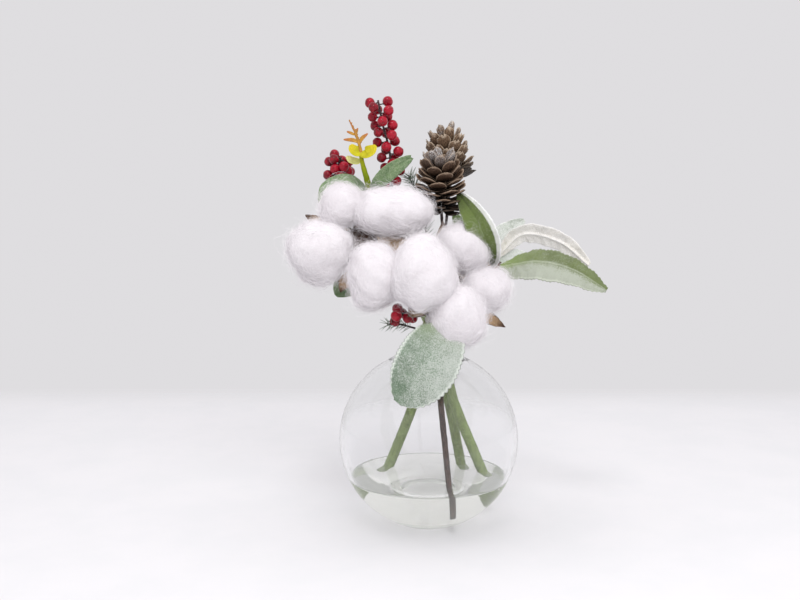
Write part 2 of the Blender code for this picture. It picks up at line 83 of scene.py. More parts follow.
LEFT_HEAD = ((-42.4, -2.8, 173.2), (-0.15, -0.85, 0.5))
RIGHT_HEAD = ((12.6, -12.8, 148.1), (0.5, -0.77, 0.39))
LEFT_VALVES = ((154, 39), (258, 35), (-3, 37), (83, 32))
RIGHT_VALVES = ((16, 42.5), (317, 43.2), (206, 40), (84, 40))
LOCKS = {
    "left_top": ((-52.5, 0, 194.8), (15.2, 14, 13.6), 0.1),
    "left_inner": ((-21.8, -8, 191.4), (25.6, 15, 14.8), 0.04),
    "left_outer": ((-64.6, -12, 167.4), (20.6, 17, 19.4), -0.1),
    "left_lower": ((-32.2, -25, 154.6), (17.0, 17, 21.0), 0.06),
    "right_inner": ((-4.6, -32, 157.6), (22.6, 18, 22.8), 0.26),
    "right_top": ((19.8, -4, 169.4), (16.4, 14, 16.6), 0.05),
    "right_outer": ((34.2, -12, 144.8), (14.2, 14, 13.8), 0.0),
    "right_lower": ((15.8, -30, 131.8), (18.2, 17, 18.6), 0.14),
}

# Share of a lock's half size that its packed lint fills, and the lint's swells: share, size and seed.
LINT_SHARE = 0.94
LINT_SWELLS = ((0.06, 26.0, 0), (0.034, 12.0, 7), (0.006, 4.0, 9))
SKIN_SEED = 40
# Loose fibres: shares of the set count and width, reach, steps, usual height, stray, seed, whether they stand.
LYING_FIBRES = (1.0, 1.0, 11.0, 6, 0.5, 0.7, 40, False)
STANDING_FIBRES = (0.5, 1.5, 14.0, 8, 0.8, 2.1, 90, True)
HIGHEST_FIBRE = 7.5
CUP_DEPTH = 10.9

# --- Routes of the berry twigs ---

TALL_SPRAY = [(-22.5, 18, 196), (-22.6, 18, 209), (-24, 17, 227), (-28, 16, 243), (-31, 15, 258)]
SHORT_SPRAY = [(-49, 32, 196), (-53, 32, 207), (-56.5, 30, 215), (-54.5, 28, 224)]
LOW_SPRAY = [(-4, -2, 129.5), (-13, -15, 131.5), (-22, -25, 130)]

# --- Pine cones: foot, tip and largest reach, then the route of the young shoot's stalk ---

LOWER_CONE = ((7.8, 11, 190.5), (6.4, 4, 224.5), 14.8)
UPPER_CONE = ((13.8, 29, 209), (11.2, 39, 238.5), 18.4)

SHOOT_STALK = [(-36.3, 13, 203.6), (-38, 9.4, 211), (-40, 8, 218.5), (-41.3, 7.4, 224.6)]

# --- Glass, water and studio ---

GLASS_REFRACTION, WATER_REFRACTION = 1.46, 1.333
VASE_STEPS, WATER_STEPS = 432, 160
FOOT_TEETH, TEETH_BELOW, TEETH_WIDTH = 72, 4.0, 1.2
GLASS_FLOOR, LIP_BEAD, CREEP_HEIGHT, WATER_GAP = 5.0, 1.5, 0.4, 0.12
FLOOR_HALF, FLOOR_FADE = 1.5, (1.1, 0.36)
LAMP_AIM = (0.0, 0.0, 0.14)
CAMERA_PLACE, CAMERA_DIP, SENSOR = (-0.017609, -0.635019, 0.214183), 6.9, 36.0


# --- Sizes and colours a user would change --------------------------------------------------------


def length_of(name, description, default):
    return FloatProperty(
        name=name, description=description, default=default, unit="LENGTH", min=0.0, precision=5
    )


def colour_of(name, description, default):
    return FloatVectorProperty(
        name=name, description=description, default=default, subtype="COLOR", size=3, min=0, max=1
    )


class VaseSettings(bpy.types.PropertyGroup):
    """The glass bowl and its water."""

    radius: length_of("Bowl radius", "Outer radius of the round bowl", round(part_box("glass_vase")[1].x, 3))
    wall: length_of("Wall", "Thickness of the glass", 0.0022)
    foot: length_of("Foot radius", "Radius of the flat foot", 0.02)
    mouth: length_of("Mouth radius", "Radius of the open mouth", 0.018)
    water: length_of("Water level", "Height of the water above the foot", round(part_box("water")[1].z, 4))
    tint: colour_of("Glass tint", "Colour of the clear glass", (0.955, 0.956, 0.96))


class CottonSettings(bpy.types.PropertyGroup):
    """The loose fibre of the open bolls."""

    fibres: IntProperty(name="Fibres", description="Loose fibres on each lock", default=5000, min=0)
    fibre_width: length_of("Fibre width", "Width of one loose fibre", 0.00007)
    white: colour_of("Cotton white", "Colour of clean lint", (0.705, 0.68, 0.698))
    cream: colour_of("Cotton cream", "Warmer colour deep between the locks", (0.655, 0.628, 0.645))


class PlantSettings(bpy.types.PropertyGroup):
    """Stems, berries, cones and leaves."""

    berry_radius: length_of("Berry radius", "Radius of each berry", 0.0032)
    berry_bright: colour_of("Berry red", "Lit side of a berry", (0.36, 0.004, 0.02))
    berry_dark: colour_of("Berry shade", "Deep red of a berry", (0.15, 0.002, 0.009))
    bark: colour_of("Bark", "Thin dry bark of the cotton stem", (0.065, 0.03, 0.018))
    stem_green: colour_of("Stem green", "Soft green stems", (0.21, 0.285, 0.085))


class StageSettings(bpy.types.PropertyGroup):
    """The studio."""

    backdrop: colour_of("Backdrop", "Light of the room all round", (0.738, 0.727, 0.745))
    key_power: FloatProperty(
        name="Key light", description="Power of the large soft light", default=6.5, unit="POWER"
    )
    lens: FloatProperty(name="Lens", description="Focal length", default=47.34, unit="CAMERA")


# --- Shapes ---------------------------------------------------------------------------------------


def unit(rows):
    rows = np.asarray(rows, float)
    return rows / np.maximum(np.linalg.norm(rows, axis=-1, keepdims=True), 1e-12)


def smoothly(x):
    x = np.clip(x, 0.0, 1.0)
    return x * x * (3 - 2 * x)


def curve(points, count, start=0.0, end=1.0):
    """Points at even steps on the smooth curve through the given ones."""
    points = np.array(points, float)
    last = len(points) - 1
    t = np.linspace(start, end, count) * last
    i = np.clip(np.floor(t).astype(int), 0, last - 1)
    u = (t - i)[:, None]
    b, c = points[i], points[i + 1]
    a = np.where((i > 0)[:, None], points[np.maximum(i - 1, 0)], 2 * b - c)
    d = np.where((i + 2 <= last)[:, None], points[np.minimum(i + 2, last)], 2 * c - b)
    return 0.5 * (2 * b + (c - a) * u + (2 * a - 5 * b + 4 * c - d) * u**2 + (3 * b - a - 3 * c + d) * u**3)


def frames(path, facing):
    """Tangent, side and normal along a path, with the normal turned towards facing."""
    tangent = unit(np.gradient(path, axis=0))
    side = unit(np.cross(tangent, facing))
    return tangent, side, np.cross(side, tangent)


def lumps(points, size, seed):
    """Smooth unevenness, about -1 to 1, with features this many millimetres across."""
    draw = np.random.default_rng(seed)
    total = np.zeros(np.shape(points)[:-1])
    for _ in range(8):
        way = unit(draw.normal(size=3)) * (2 * math.pi / size) * draw.uniform(0.6, 1.4)
        total += np.sin(points @ way + draw.uniform(0, 2 * math.pi))
    return total / 3.2


def ring_faces(rows, ring):
    """Quads that join rows of points, each row closed into a ring."""
    k = np.arange(ring)
    after = (k + 1) % ring
    r = np.arange(rows - 1)[:, None] * ring
    return np.stack([r + k, r + after, r + ring + after, r + ring + k], axis=-1).reshape(-1, 4)


class Gather:
    """Points, faces and the values that the finishes read, kept together until they become one piece."""

    def __init__(self):
        self.points, self.faces, self.places, self.slots = [], [], [], []
        self.count = 0

    def add(self, points, faces, place=None, slot=0, caps=()):
        """place holds three values for each point, such as across, along and a tone."""
        points = np.asarray(points, float).reshape(-1, 3)
        place = np.zeros_like(points) if place is None else np.asarray(place, float).reshape(-1, 3)
        listed = (np.asarray(faces) + self.count).tolist() + [[v + self.count for v in cap] for cap in caps]
        self.points.append(points)
        self.places.append(place)
        self.faces.extend(listed)
        self.slots.extend([slot] * len(listed))
        self.count += len(points)

    def rows(self, grid, place, slot=0):
        """Adds closed rings of points as a skin, with both ends covered."""
        rows, ring = grid.shape[:2]
        last = (rows - 1) * ring
        caps = [list(range(ring))[::-1], list(range(last, last + ring))]
        self.add(grid, ring_faces(rows, ring), place, slot, caps)

    def make(self, name, materials, nodes):
        """The finished piece, riding on the root and standing for its solids in the frame."""
        mesh = bpy.data.meshes.new(name)
        mesh.from_pydata((np.concatenate(self.points) * MM).tolist(), [], self.faces)
        mesh.attributes.new("place", "FLOAT_VECTOR", "POINT").data.foreach_set(
            "vector", np.concatenate(self.places).ravel()
        )
        for material in materials:
            mesh.materials.append(material)
        mesh.polygons.foreach_set("material_index", self.slots)
        mesh.polygons.foreach_set("use_smooth", [True] * len(mesh.polygons))
        mesh.update()
        piece = bpy.data.objects.new(name, mesh)
        bpy.context.scene.collection.objects.link(piece)
        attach(piece, "root")
        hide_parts(*([nodes] if isinstance(nodes, str) else nodes))
        return piece


def stack(*columns):
    """Columns of values, stretched to one shape, side by side."""
    return np.stack(np.broadcast_arrays(*[np.asarray(c, float) for c in columns]), axis=-1)


def tube(
    gather, route, radii, count=24, sides=10, tone=0.5, slot=0, rough=0.0, seed=1, facing=(0.2, 1.0, 0.1)
):
    """A round stem along a curve. rough is how uneven its skin is, as a share of its radius."""
    path = curve(route, count)
    _, side, normal = frames(path, unit(facing))
    share = np.linspace(0, 1, count)
    radius = np.interp(share, np.linspace(0, 1, len(radii)), radii)
    angle = np.arange(sides) * 2 * math.pi / sides
    ring = np.cos(angle)[None, :, None] * side[:, None] + np.sin(angle)[None, :, None] * normal[:, None]
    grid = path[:, None] + radius[:, None, None] * ring
    if rough:
        swell = lumps(grid, 4.0, seed) + 0.6 * lumps(grid, 1.5, seed + 1)
        grid = grid + (rough * radius[:, None] * swell)[..., None] * ring
    gather.rows(grid, stack(np.cos(angle)[None, :], share[:, None], tone), slot)


def outline(x, widest, blunt):
    """Half width of a blade, 0 to 1, where x runs from its base to its tip. A small blunt rounds the ends."""
    power = math.log(0.5) / math.log(widest)
    return np.maximum(np.sin(math.pi * np.clip(x, 0, 1) ** power), 0.0) ** blunt


def blade(gather, route, half_width, facing, petiole=0.15, widest=0.5, fold=0.25, thick=0.9, stalk=0.9,
          along=70, across=19, scallop=(0.0, 2.4), rib=0.35, veins=(0.14, 5.5), wave=0.4, rough=0.08,
          seed=1, notch=0.0, blunt=0.72):
    """A leaf along a curve, with two faces. Place x is across it, y along it, and z is 1 underneath."""
    path = curve(route, along)
    tangent, side, normal = frames(path, unit(facing))
    share = np.linspace(0, 1, along)
    x = (share - petiole) / (1 - petiole)
    width = stalk + (half_width - stalk) * outline(np.minimum(x, 0.994), widest, blunt)
    step = np.linalg.norm(np.diff(path, axis=0), axis=1)
    run = np.concatenate([[0], np.cumsum(step)])
    top = np.linspace(-1, 1, across)
    t = np.concatenate([top, top[-2:0:-1]])
    face = np.concatenate([np.ones(across), -np.ones(across - 2)])
    depth, pitch = scallop
    blade_share = smoothly(x / 0.15)[:, None]
    edge = np.abs(t)[None, :] ** 3
    teeth = depth * (np.abs(np.sin(math.pi * run / pitch))[:, None] - 0.6) * blade_share
    reach = width[:, None] * t[None, :] + np.sign(t)[None, :] * edge * teeth
    lateral = np.abs(reach)
    lift = fold * np.maximum(width - stalk, 0)[:, None] * t[None, :] ** 2
    lift = lift - rib * blade_share * np.exp(-((lateral / 0.75) ** 2))
    vein_depth, vein_gap = veins
    phase = (run[:, None] - 0.85 * lateral) / vein_gap
    line = (0.5 + 0.5 * np.cos(2 * math.pi * phase)) ** 5
    lift = lift - vein_depth * blade_share * line * (1 - edge) * smoothly(lateral / 1.5)
    ripple = np.sin(2 * math.pi * run / 13.0 + seed) + 0.5 * np.sin(2 * math.pi * run / 5.7 + 2 * seed)
    lift = lift + wave * blade_share * t[None, :] ** 2 * ripple[:, None] * np.sign(t)[None, :]
    rounding = np.sqrt(np.maximum(1 - np.abs(t) ** 5, 0.0))
    half = np.where(x > 0.0, thick / 2, stalk)[:, None] * rounding[None, :] * face[None, :]
    start = path[:, None] + reach[..., None] * side[:, None]
    if notch:
        pull = notch * np.exp(-((reach / (half_width * 0.25)) ** 2)) * smoothly((share[:, None] - 0.8) / 0.2)
        start = start - pull[..., None] * tangent[:, None]
    lift = lift + rough * lumps(start, 1.3, seed) + 1.6 * rough * lumps(start, 4.0, seed + 3)
    grid = start + (lift + half)[..., None] * normal[:, None]
    gather.rows(grid, stack(t[None, :], np.clip(x, 0, 1)[:, None], (face[None, :] < 0)))


def ball(gather, centre, radius, pole, rings=13, sides=20, tone=0.5, dent=0.0, slot=0):
    """A round berry with a small dent at its pole."""
    pole = unit(pole)
    first = unit(np.cross(pole, (0.31, 0.52, 0.79)))
    second = np.cross(pole, first)
    angle = np.arange(sides) * 2 * math.pi / sides
    fall = np.linspace(0.06, math.pi - 0.06, rings)[:, None]
    reach = radius * (1 + 0.025 * np.sin(3 * angle + 6 * tone))[None, :]
    inward = dent * np.exp(-((fall / 0.28) ** 2))
    grid = (
        np.asarray(centre, float)
        + (reach * np.sin(fall) * np.cos(angle))[..., None] * first
        + (reach * np.sin(fall) * np.sin(angle))[..., None] * second
        + ((reach * 0.96 - inward) * np.cos(fall))[..., None] * pole
    )
    gather.rows(grid, stack(0 * angle[None, :], fall / math.pi, tone), slot)


def bound_to_trunk(angle_deg, share):
    """Two points where a twig lies against the trunk, share of the way up it."""
    out = BIND_OFFSET * np.array([math.cos(math.radians(angle_deg)), math.sin(math.radians(angle_deg)), 0])
    return [tuple(curve(TRUNK, 2, share - step, share)[0] + out) for step in (0.0, BIND_STEP)]


# --- Nodes ----------------------------------------------------------------------------------------


class Wires:
    """Short names for adding and joining the nodes of one tree."""

    def __init__(self, tree):
        self.tree = tree

    def add(self, kind, **settings):
        made = self.tree.nodes.new(kind)
        for key, value in settings.items():
            setattr(made, key, value)
        return made

    def put(self, socket, value):
        if isinstance(value, bpy.types.NodeSocket):
            self.tree.links.new(value, socket)
        elif hasattr(value, "__len__") and socket.type == "RGBA":
            socket.default_value = (*value[:3], 1.0)
        else:
            socket.default_value = value

    def calc(self, operation, *values, clamp=False):
        made = self.add("ShaderNodeMath", operation=operation, use_clamp=clamp)
        for socket, value in zip(made.inputs, values):
            self.put(socket, value)
        return made.outputs[0]

    def stretch(self, vector, by):
        made = self.add("ShaderNodeVectorMath", operation="MULTIPLY")
        self.put(made.inputs[0], vector)
        self.put(made.inputs[1], by)
        return made.outputs[0]

    def noise(self, vector, scale, detail=3.0, roughness=0.55, distortion=0.0):
        made = self.add("ShaderNodeTexNoise")
        self.put(made.inputs["Vector"], vector)
        self.put(made.inputs["Scale"], scale)
        self.put(made.inputs["Detail"], detail)
        self.put(made.inputs["Roughness"], roughness)
        self.put(made.inputs["Distortion"], distortion)
        return made.outputs[0]

    def cells(self, vector, scale, feature="F1"):
        made = self.add("ShaderNodeTexVoronoi", feature=feature)
        self.put(made.inputs["Vector"], vector)
        self.put(made.inputs["Scale"], scale)
        return made.outputs["Distance"]

    def mix(self, share, first, second, blend="MIX"):
        made = self.add("ShaderNodeMix", data_type="RGBA", blend_type=blend)
        self.put(made.inputs[0], share)
        self.put(made.inputs[6], first)
        self.put(made.inputs[7], second)
        return made.outputs[2]

    def between(self, value, low, high, to_low=0.0, to_high=1.0):
        """The value as it goes from low to high, eased, and held beyond them."""
        made = self.add("ShaderNodeMapRange", interpolation_type="SMOOTHSTEP")
        for socket, given in zip(made.inputs, (value, low, high, to_low, to_high)):
            self.put(socket, given)
        return made.outputs[0]

    def place(self):
        """The piece's own across, along and tone."""
        read = self.add("ShaderNodeAttribute", attribute_name="place")
        split = self.add("ShaderNodeSeparateXYZ")
        self.tree.links.new(read.outputs["Vector"], split.inputs[0])
        return split.outputs

    def where(self):
        """Where the surface is, in millimetres."""
        made = self.add("ShaderNodeTexCoord")
        return self.stretch(made.outputs["Object"], (TO_MM, TO_MM, TO_MM))

    def group(self, tree, **inputs):
        made = self.add("ShaderNodeGroup", node_tree=tree)
        for key, value in inputs.items():
            self.put(made.inputs[key.replace("_", " ")], value)
        return made.outputs

    def bump(self, height, strength, distance=0.0004):
        made = self.add("ShaderNodeBump")
        made.inputs["Strength"].default_value = strength
        made.inputs["Distance"].default_value = distance
        self.put(made.inputs["Height"], height)
        return made.outputs[0]


def new_group(name, inputs, outputs):
    """An empty shader group with these sockets: (name, kind, default) in and (name, kind) out."""
    tree = bpy.data.node_groups.new(name, "ShaderNodeTree")
    for label, kind, default in inputs:
        socket = tree.interface.new_socket(label, in_out="INPUT", socket_type="NodeSocket" + kind)
        if default is not None:
            socket.default_value = (*default, 1.0) if kind == "Color" else default
    for label, kind in outputs:
        tree.interface.new_socket(label, in_out="OUTPUT", socket_type="NodeSocket" + kind)
    wires = Wires(tree)
    given = wires.add("NodeGroupInput").outputs
    result = wires.add("NodeGroupOutput").inputs
    return tree, wires, given, result


def mottle_group():
    """Slow change of colour over a piece, from one colour to another."""
    tree, wires, given, result = new_group(
        "Mottle",
        [("Where", "Vector", None), ("Patch", "Float", 10.0), ("First", "Color", (0.5, 0.5, 0.5)),
         ("Second", "Color", (0.3, 0.3, 0.3)), ("Shift", "Float", 0.0)],
        [("Color", "Color"), ("Mask", "Float")],
    )
    scale = wires.calc("DIVIDE", 1.0, given["Patch"])
    cloud = wires.noise(given["Where"], scale, 4.0, 0.6)
    mask = wires.between(wires.calc("ADD", cloud, given["Shift"]), 0.36, 0.66)
    wires.put(result["Color"], wires.mix(mask, given["First"], given["Second"]))
    wires.put(result["Mask"], mask)
    return tree


def frost_group():
    """Pale frost as fine crackle and specks over a colour."""
    tree, wires, given, result = new_group(
        "Frost",
        [("Where", "Vector", None), ("Speck", "Float", 0.8), ("Base", "Color", (0.2, 0.3, 0.15)),
         ("Frost", "Color", (0.8, 0.85, 0.8)), ("Amount", "Float", 0.5)],
        [("Color", "Color"), ("Mask", "Float"), ("Height", "Float")],
    )
    scale = wires.calc("DIVIDE", 1.0, given["Speck"])
    warped = wires.noise(given["Where"], wires.calc("MULTIPLY", scale, 0.9), 3.0, 0.6)
    crackle = wires.cells(given["Where"], scale, "DISTANCE_TO_EDGE")
    lines = wires.between(crackle, 0.02, 0.2, 1.0, 0.0)
    specks = wires.between(
        wires.noise(given["Where"], wires.calc("MULTIPLY", scale, 2.6), 2.0, 0.7), 0.5, 0.68
    )
    both = wires.calc("MAXIMUM", lines, specks)
    patchy = wires.calc("MULTIPLY", both, wires.between(warped, 0.3, 0.62))
    mask = wires.calc("MULTIPLY", patchy, given["Amount"], clamp=True)
    wires.put(result["Color"], wires.mix(mask, given["Base"], given["Frost"]))
    wires.put(result["Mask"], mask)
    wires.put(result["Height"], both)
    return tree


def nap_group():
    """Short felted hair: a pale bloom broken up finely, with its height."""
    tree, wires, given, result = new_group(
        "Felt Nap",
        [("Where", "Vector", None), ("Hair", "Float", 0.5), ("Base", "Color", (0.3, 0.4, 0.2)),
         ("Nap", "Color", (0.75, 0.78, 0.72)), ("Amount", "Float", 0.5)],
        [("Color", "Color"), ("Height", "Float")],
    )
    scale = wires.calc("DIVIDE", 1.0, given["Hair"])
    fine = wires.noise(given["Where"], scale, 3.0, 0.7)
    slow = wires.noise(given["Where"], wires.calc("MULTIPLY", scale, 0.1), 3.0, 0.6)
    amount = wires.calc("MULTIPLY_ADD", given["Amount"], 0.5, -0.25)
    drift = wires.calc("MULTIPLY_ADD", slow, 0.3, -0.15)
    stipple = wires.calc("ADD", fine, wires.calc("ADD", amount, drift))
    mask = wires.between(stipple, 0.3, 0.7)
    wires.put(result["Color"], wires.mix(mask, given["Base"], given["Nap"]))
    wires.put(result["Height"], wires.calc("MULTIPLY_ADD", slow, 0.5, fine))
    return tree


def grain_group():
    """Dry woody grain that runs one way, with small pits."""
    tree, wires, given, result = new_group(
        "Woody Grain",
        [("Where", "Vector", None), ("Fine", "Float", 0.6), ("Dark", "Color", (0.05, 0.03, 0.02)),
         ("Light", "Color", (0.2, 0.15, 0.1))],
        [("Color", "Color"), ("Height", "Float")],
    )
    scale = wires.calc("DIVIDE", 1.0, given["Fine"])
    streak = wires.noise(wires.stretch(given["Where"], (1.0, 1.0, 0.22)), scale, 5.0, 0.7, 0.4)
    pits = wires.cells(given["Where"], wires.calc("MULTIPLY", scale, 0.8))
    mask = wires.between(streak, 0.34, 0.68)
    wires.put(result["Color"], wires.mix(mask, given["Dark"], given["Light"]))
    wires.put(result["Height"], wires.calc("MULTIPLY_ADD", pits, 0.35, streak))
    return tree


def shared(name):
    """One of the shared effects, made the first time it is asked for."""
    makers = {"Mottle": mottle_group, "Frost": frost_group, "Felt Nap": nap_group, "Woody Grain": grain_group}
    return bpy.data.node_groups.get(name) or makers[name]()


def new_material(name):
    """(material, its wires, its Principled shader)"""
    made = bpy.data.materials.new(name)
    made.use_nodes = True
    wires = Wires(made.node_tree)
    return made, wires, made.node_tree.nodes["Principled BSDF"]


def once(maker):
    """Makes each finish once and hands the same one back after that."""
    made = {}

    def give(*values):
        if values not in made:
            made[values] = maker(*values)
        return made[values]

    return give


# --- Finishes -------------------------------------------------------------------------------------


def shade(colour, share):
    """The colour made darker, or lighter where share is over 1."""
    return tuple(share * c for c in colour)


def let_lamps_through(wires, shader, colour):
    """Lets the lamps shine on through a surface, so that it casts no shadow."""
    lamp = wires.add("ShaderNodeLightPath").outputs["Is Shadow Ray"]
    clear = wires.add("ShaderNodeBsdfTransparent")
    clear.inputs["Color"].default_value = (*colour, 1.0)
    blend = wires.add("ShaderNodeMixShader")
    wires.put(blend.inputs[0], lamp)
    wires.put(blend.inputs[1], shader.outputs[0])
    wires.put(blend.inputs[2], clear.outputs[0])
    wires.put(wires.tree.nodes["Material Output"].inputs["Surface"], blend.outputs[0])


def clear_finish(name, tint, refraction, through, swirl, patch, painted_glow):
    """Clear glass or water, with a faint painted glow that stands in for the light going round inside it many
    times.
    """
    material, wires, shader = new_material(name)
    shader.inputs["Base Color"].default_value = (*tint, 1.0)
    shader.inputs["Roughness"].default_value = 0.0
    shader.inputs["IOR"].default_value = refraction
    shader.inputs["Transmission Weight"].default_value = 1.0
    # Painted glow: the surface glows a little by itself, standing in for light that goes round inside the
    # glass or water.
    shader.inputs["Emission Color"].default_value = (0.97, 1.0, 0.96, 1.0)
    shader.inputs["Emission Strength"].default_value = painted_glow
    waves = wires.group(shared("Mottle"), Where=wires.where(), Patch=patch)["Mask"]
    wires.put(shader.inputs["Normal"], wires.bump(waves, swirl, 0.0006))
    let_lamps_through(wires, shader, through)
    return material


@once
def cotton_finish(name, loose):
    """Clean white lint. Single loose fibres are too fine to shade the rest."""
    cotton = bpy.context.scene.cotton_bunch.cotton
    material, wires, shader = new_material(name)
    where = wires.where()
    paler = 1.12 if loose else 1.0
    white, cream = ([min(paler * c, 0.9) for c in lint] for lint in (cotton.white, cotton.cream))
    tinted = wires.group(shared("Mottle"), Where=where, Patch=9.0, First=white, Second=cream, Shift=-0.12)
    wires.put(shader.inputs["Base Color"], tinted["Color"])
    shader.inputs["Roughness"].default_value = 1.0
    shader.inputs["Specular IOR Level"].default_value = 0.0
    if loose:
        let_lamps_through(wires, shader, (1.0, 1.0, 1.0))
    else:
        fluff = wires.noise(where, 0.55, 5.0, 0.6, 0.3)
        wires.put(shader.inputs["Normal"], wires.bump(fluff, 0.55, 0.001))
    return material


def woody_finish(name, dark, light, fine, roughness=0.75, bump=0.6):
    material, wires, shader = new_material(name)
    where = wires.where()
    grain = wires.group(shared("Woody Grain"), Where=where, Fine=fine, Dark=dark, Light=light)
    patches = wires.group(
        shared("Mottle"), Where=where, Patch=7.0, First=(1, 1, 1), Second=(0.62, 0.58, 0.58)
    )
    wires.put(shader.inputs["Base Color"], wires.mix(1.0, grain["Color"], patches["Color"], "MULTIPLY"))
    wires.put(
        shader.inputs["Roughness"], wires.between(grain["Height"], 0.3, 0.9, roughness, roughness - 0.2)
    )
    wires.put(shader.inputs["Normal"], wires.bump(grain["Height"], bump))
    return material


@once
def bark_finish():
    bark = tuple(bpy.context.scene.cotton_bunch.plants.bark)
    return woody_finish("thin_brown_bark", shade(bark, 0.35), shade(bark, 1.5), 0.7)


@once
def twig_finish():
    return woody_finish("purple_brown_twig", (0.02, 0.009, 0.011), (0.1, 0.055, 0.058), 0.5, 0.65)


@once
def bur_finish():
    """Dry valves: tan inside, dark brown outside and towards the point."""
    material, wires, shader = new_material("dry_bur_valve")
    where = wires.where()
    across, along, outside = wires.place()
    inner = wires.group(
        shared("Woody Grain"), Where=where, Fine=0.6, Dark=(0.3, 0.18, 0.085), Light=(0.62, 0.43, 0.25)
    )
    outer = wires.group(
        shared("Woody Grain"), Where=where, Fine=0.5, Dark=(0.025, 0.011, 0.006), Light=(0.12, 0.062, 0.036)
    )
    rim = wires.between(wires.calc("ABSOLUTE", across), 0.72, 0.95)
    point = wires.between(along, 0.78, 0.97)
    darker = wires.calc("MAXIMUM", outside, point)
    dark = wires.calc("MAXIMUM", darker, wires.calc("MULTIPLY", rim, 0.8), clamp=True)
    wires.put(shader.inputs["Base Color"], wires.mix(dark, inner["Color"], outer["Color"]))
    wires.put(shader.inputs["Roughness"], wires.between(inner["Height"], 0.3, 0.9, 0.8, 0.55))
    wires.put(shader.inputs["Normal"], wires.bump(outer["Height"], 0.7))
    return material


@once
def green_stem_finish():
    green = tuple(bpy.context.scene.cotton_bunch.plants.stem_green)
    material, wires, shader = new_material("soft_green_stem")
    where = wires.where()
    streaks = wires.group(
        shared("Woody Grain"), Where=where, Fine=1.6, Dark=shade(green, 0.72), Light=shade(green, 1.2)
    )
    napped = wires.group(
        shared("Felt Nap"), Where=where, Hair=0.6, Base=streaks["Color"], Nap=(0.45, 0.52, 0.3), Amount=0.25
    )
    wires.put(shader.inputs["Base Color"], napped["Color"])
    shader.inputs["Roughness"].default_value = 0.62
    shader.inputs["Sheen Weight"].default_value = 0.15
    wires.put(shader.inputs["Normal"], wires.bump(napped["Height"], 0.3))
    return material


@once
def berry_finish():
    plants = bpy.context.scene.cotton_bunch.plants
    material, wires, shader = new_material("glossy_red_berry")
    where = wires.where()
    _, fall, tone = wires.place()
    skin = wires.group(
        shared("Mottle"), Where=where, Patch=2.6, First=plants.berry_bright, Second=plants.berry_dark,
        Shift=wires.calc("MULTIPLY_ADD", tone, 0.24, -0.14),
    )
    eye = wires.between(fall, 0.03, 0.09, 0.5, 0.0)
    wires.put(shader.inputs["Base Color"], wires.mix(eye, skin["Color"], (0.06, 0.004, 0.008)))
    wires.put(shader.inputs["Roughness"], wires.between(skin["Mask"], 0.0, 1.0, 0.32, 0.42))
    shader.inputs["Specular IOR Level"].default_value = 0.25
    shader.inputs["Coat Weight"].default_value = 0.45
    shader.inputs["Coat Roughness"].default_value = 0.09
    shader.inputs["Coat IOR"].default_value = 1.38
    dimples = wires.noise(where, 1.3, 2.0)
    wires.put(shader.inputs["Normal"], wires.bump(dimples, 0.12))
    return material


@once
def needle_finish():
    material, wires, shader = new_material("frosted_needle")
    _, along, tone = wires.place()
    greens = wires.group(
        shared("Mottle"), Where=wires.where(), Patch=4.0, First=(0.07, 0.11, 0.06), Second=(0.2, 0.27, 0.18)
    )
    frost = wires.group(
        shared("Frost"), Where=wires.where(), Speck=0.5, Base=greens["Color"], Frost=(0.72, 0.78, 0.76),
        Amount=wires.calc("MULTIPLY", wires.between(along, 0.25, 1.0),
                          wires.calc("MULTIPLY_ADD", tone, 0.9, 0.35)),
    )
    wires.put(shader.inputs["Base Color"], frost["Color"])
    wires.put(shader.inputs["Roughness"], wires.between(frost["Mask"], 0.0, 1.0, 0.5, 0.85))
    return material


@once
def cone_finish(name, dark, light, rim, snow):
    """Woody scales: painted shade towards the heart, and a pale rim that is partly the scale's own colour and
    partly painted highlight. Place z is snow when above 0 and painted shade when below.
    """
    material, wires, shader = new_material(name)
    where = wires.where()
    across, along, snow_and_painted_shade = wires.place()
    grain = wires.group(shared("Woody Grain"), Where=where, Fine=0.55, Dark=dark, Light=light)
    sideways = wires.between(wires.calc("ABSOLUTE", across), 0.8, 1.0)
    edge = wires.calc("MAXIMUM", sideways, wires.between(along, 0.9, 1.0))
    # Painted shade: each scale darkens towards the heart of the cone, where it lies deep between the others.
    painted_heart_shade = wires.between(along, 0.1, 0.75)
    body = wires.mix(painted_heart_shade, shade(dark, 0.2), grain["Color"])
    # Pale rims: partly the scale's own colour, partly painted highlight on its edges.
    pale_rim_and_highlight = wires.mix(wires.calc("MULTIPLY", edge, 0.8), body, rim)
    # Painted shade: the lower rows darken towards black.
    shaded = wires.mix(wires.between(snow_and_painted_shade, -1.0, 0.0, 0.85, 0.0), pale_rim_and_highlight, (0.006, 0.004, 0.004))
    snowed = wires.group(
        shared("Frost"), Where=where, Speck=0.8, Base=shaded, Frost=(0.86, 0.87, 0.88),
        Amount=wires.calc("MULTIPLY", wires.calc("MULTIPLY", snow_and_painted_shade, snow, clamp=True),
                          wires.between(along, 0.35, 0.7)),
    )
    wires.put(shader.inputs["Base Color"], snowed["Color"])
    wires.put(shader.inputs["Roughness"], wires.between(grain["Height"], 0.3, 0.9, 0.75, 0.55))
    shader.inputs["Specular IOR Level"].default_value = 0.3
    wires.put(shader.inputs["Normal"], wires.bump(grain["Height"], 0.7))
    return material


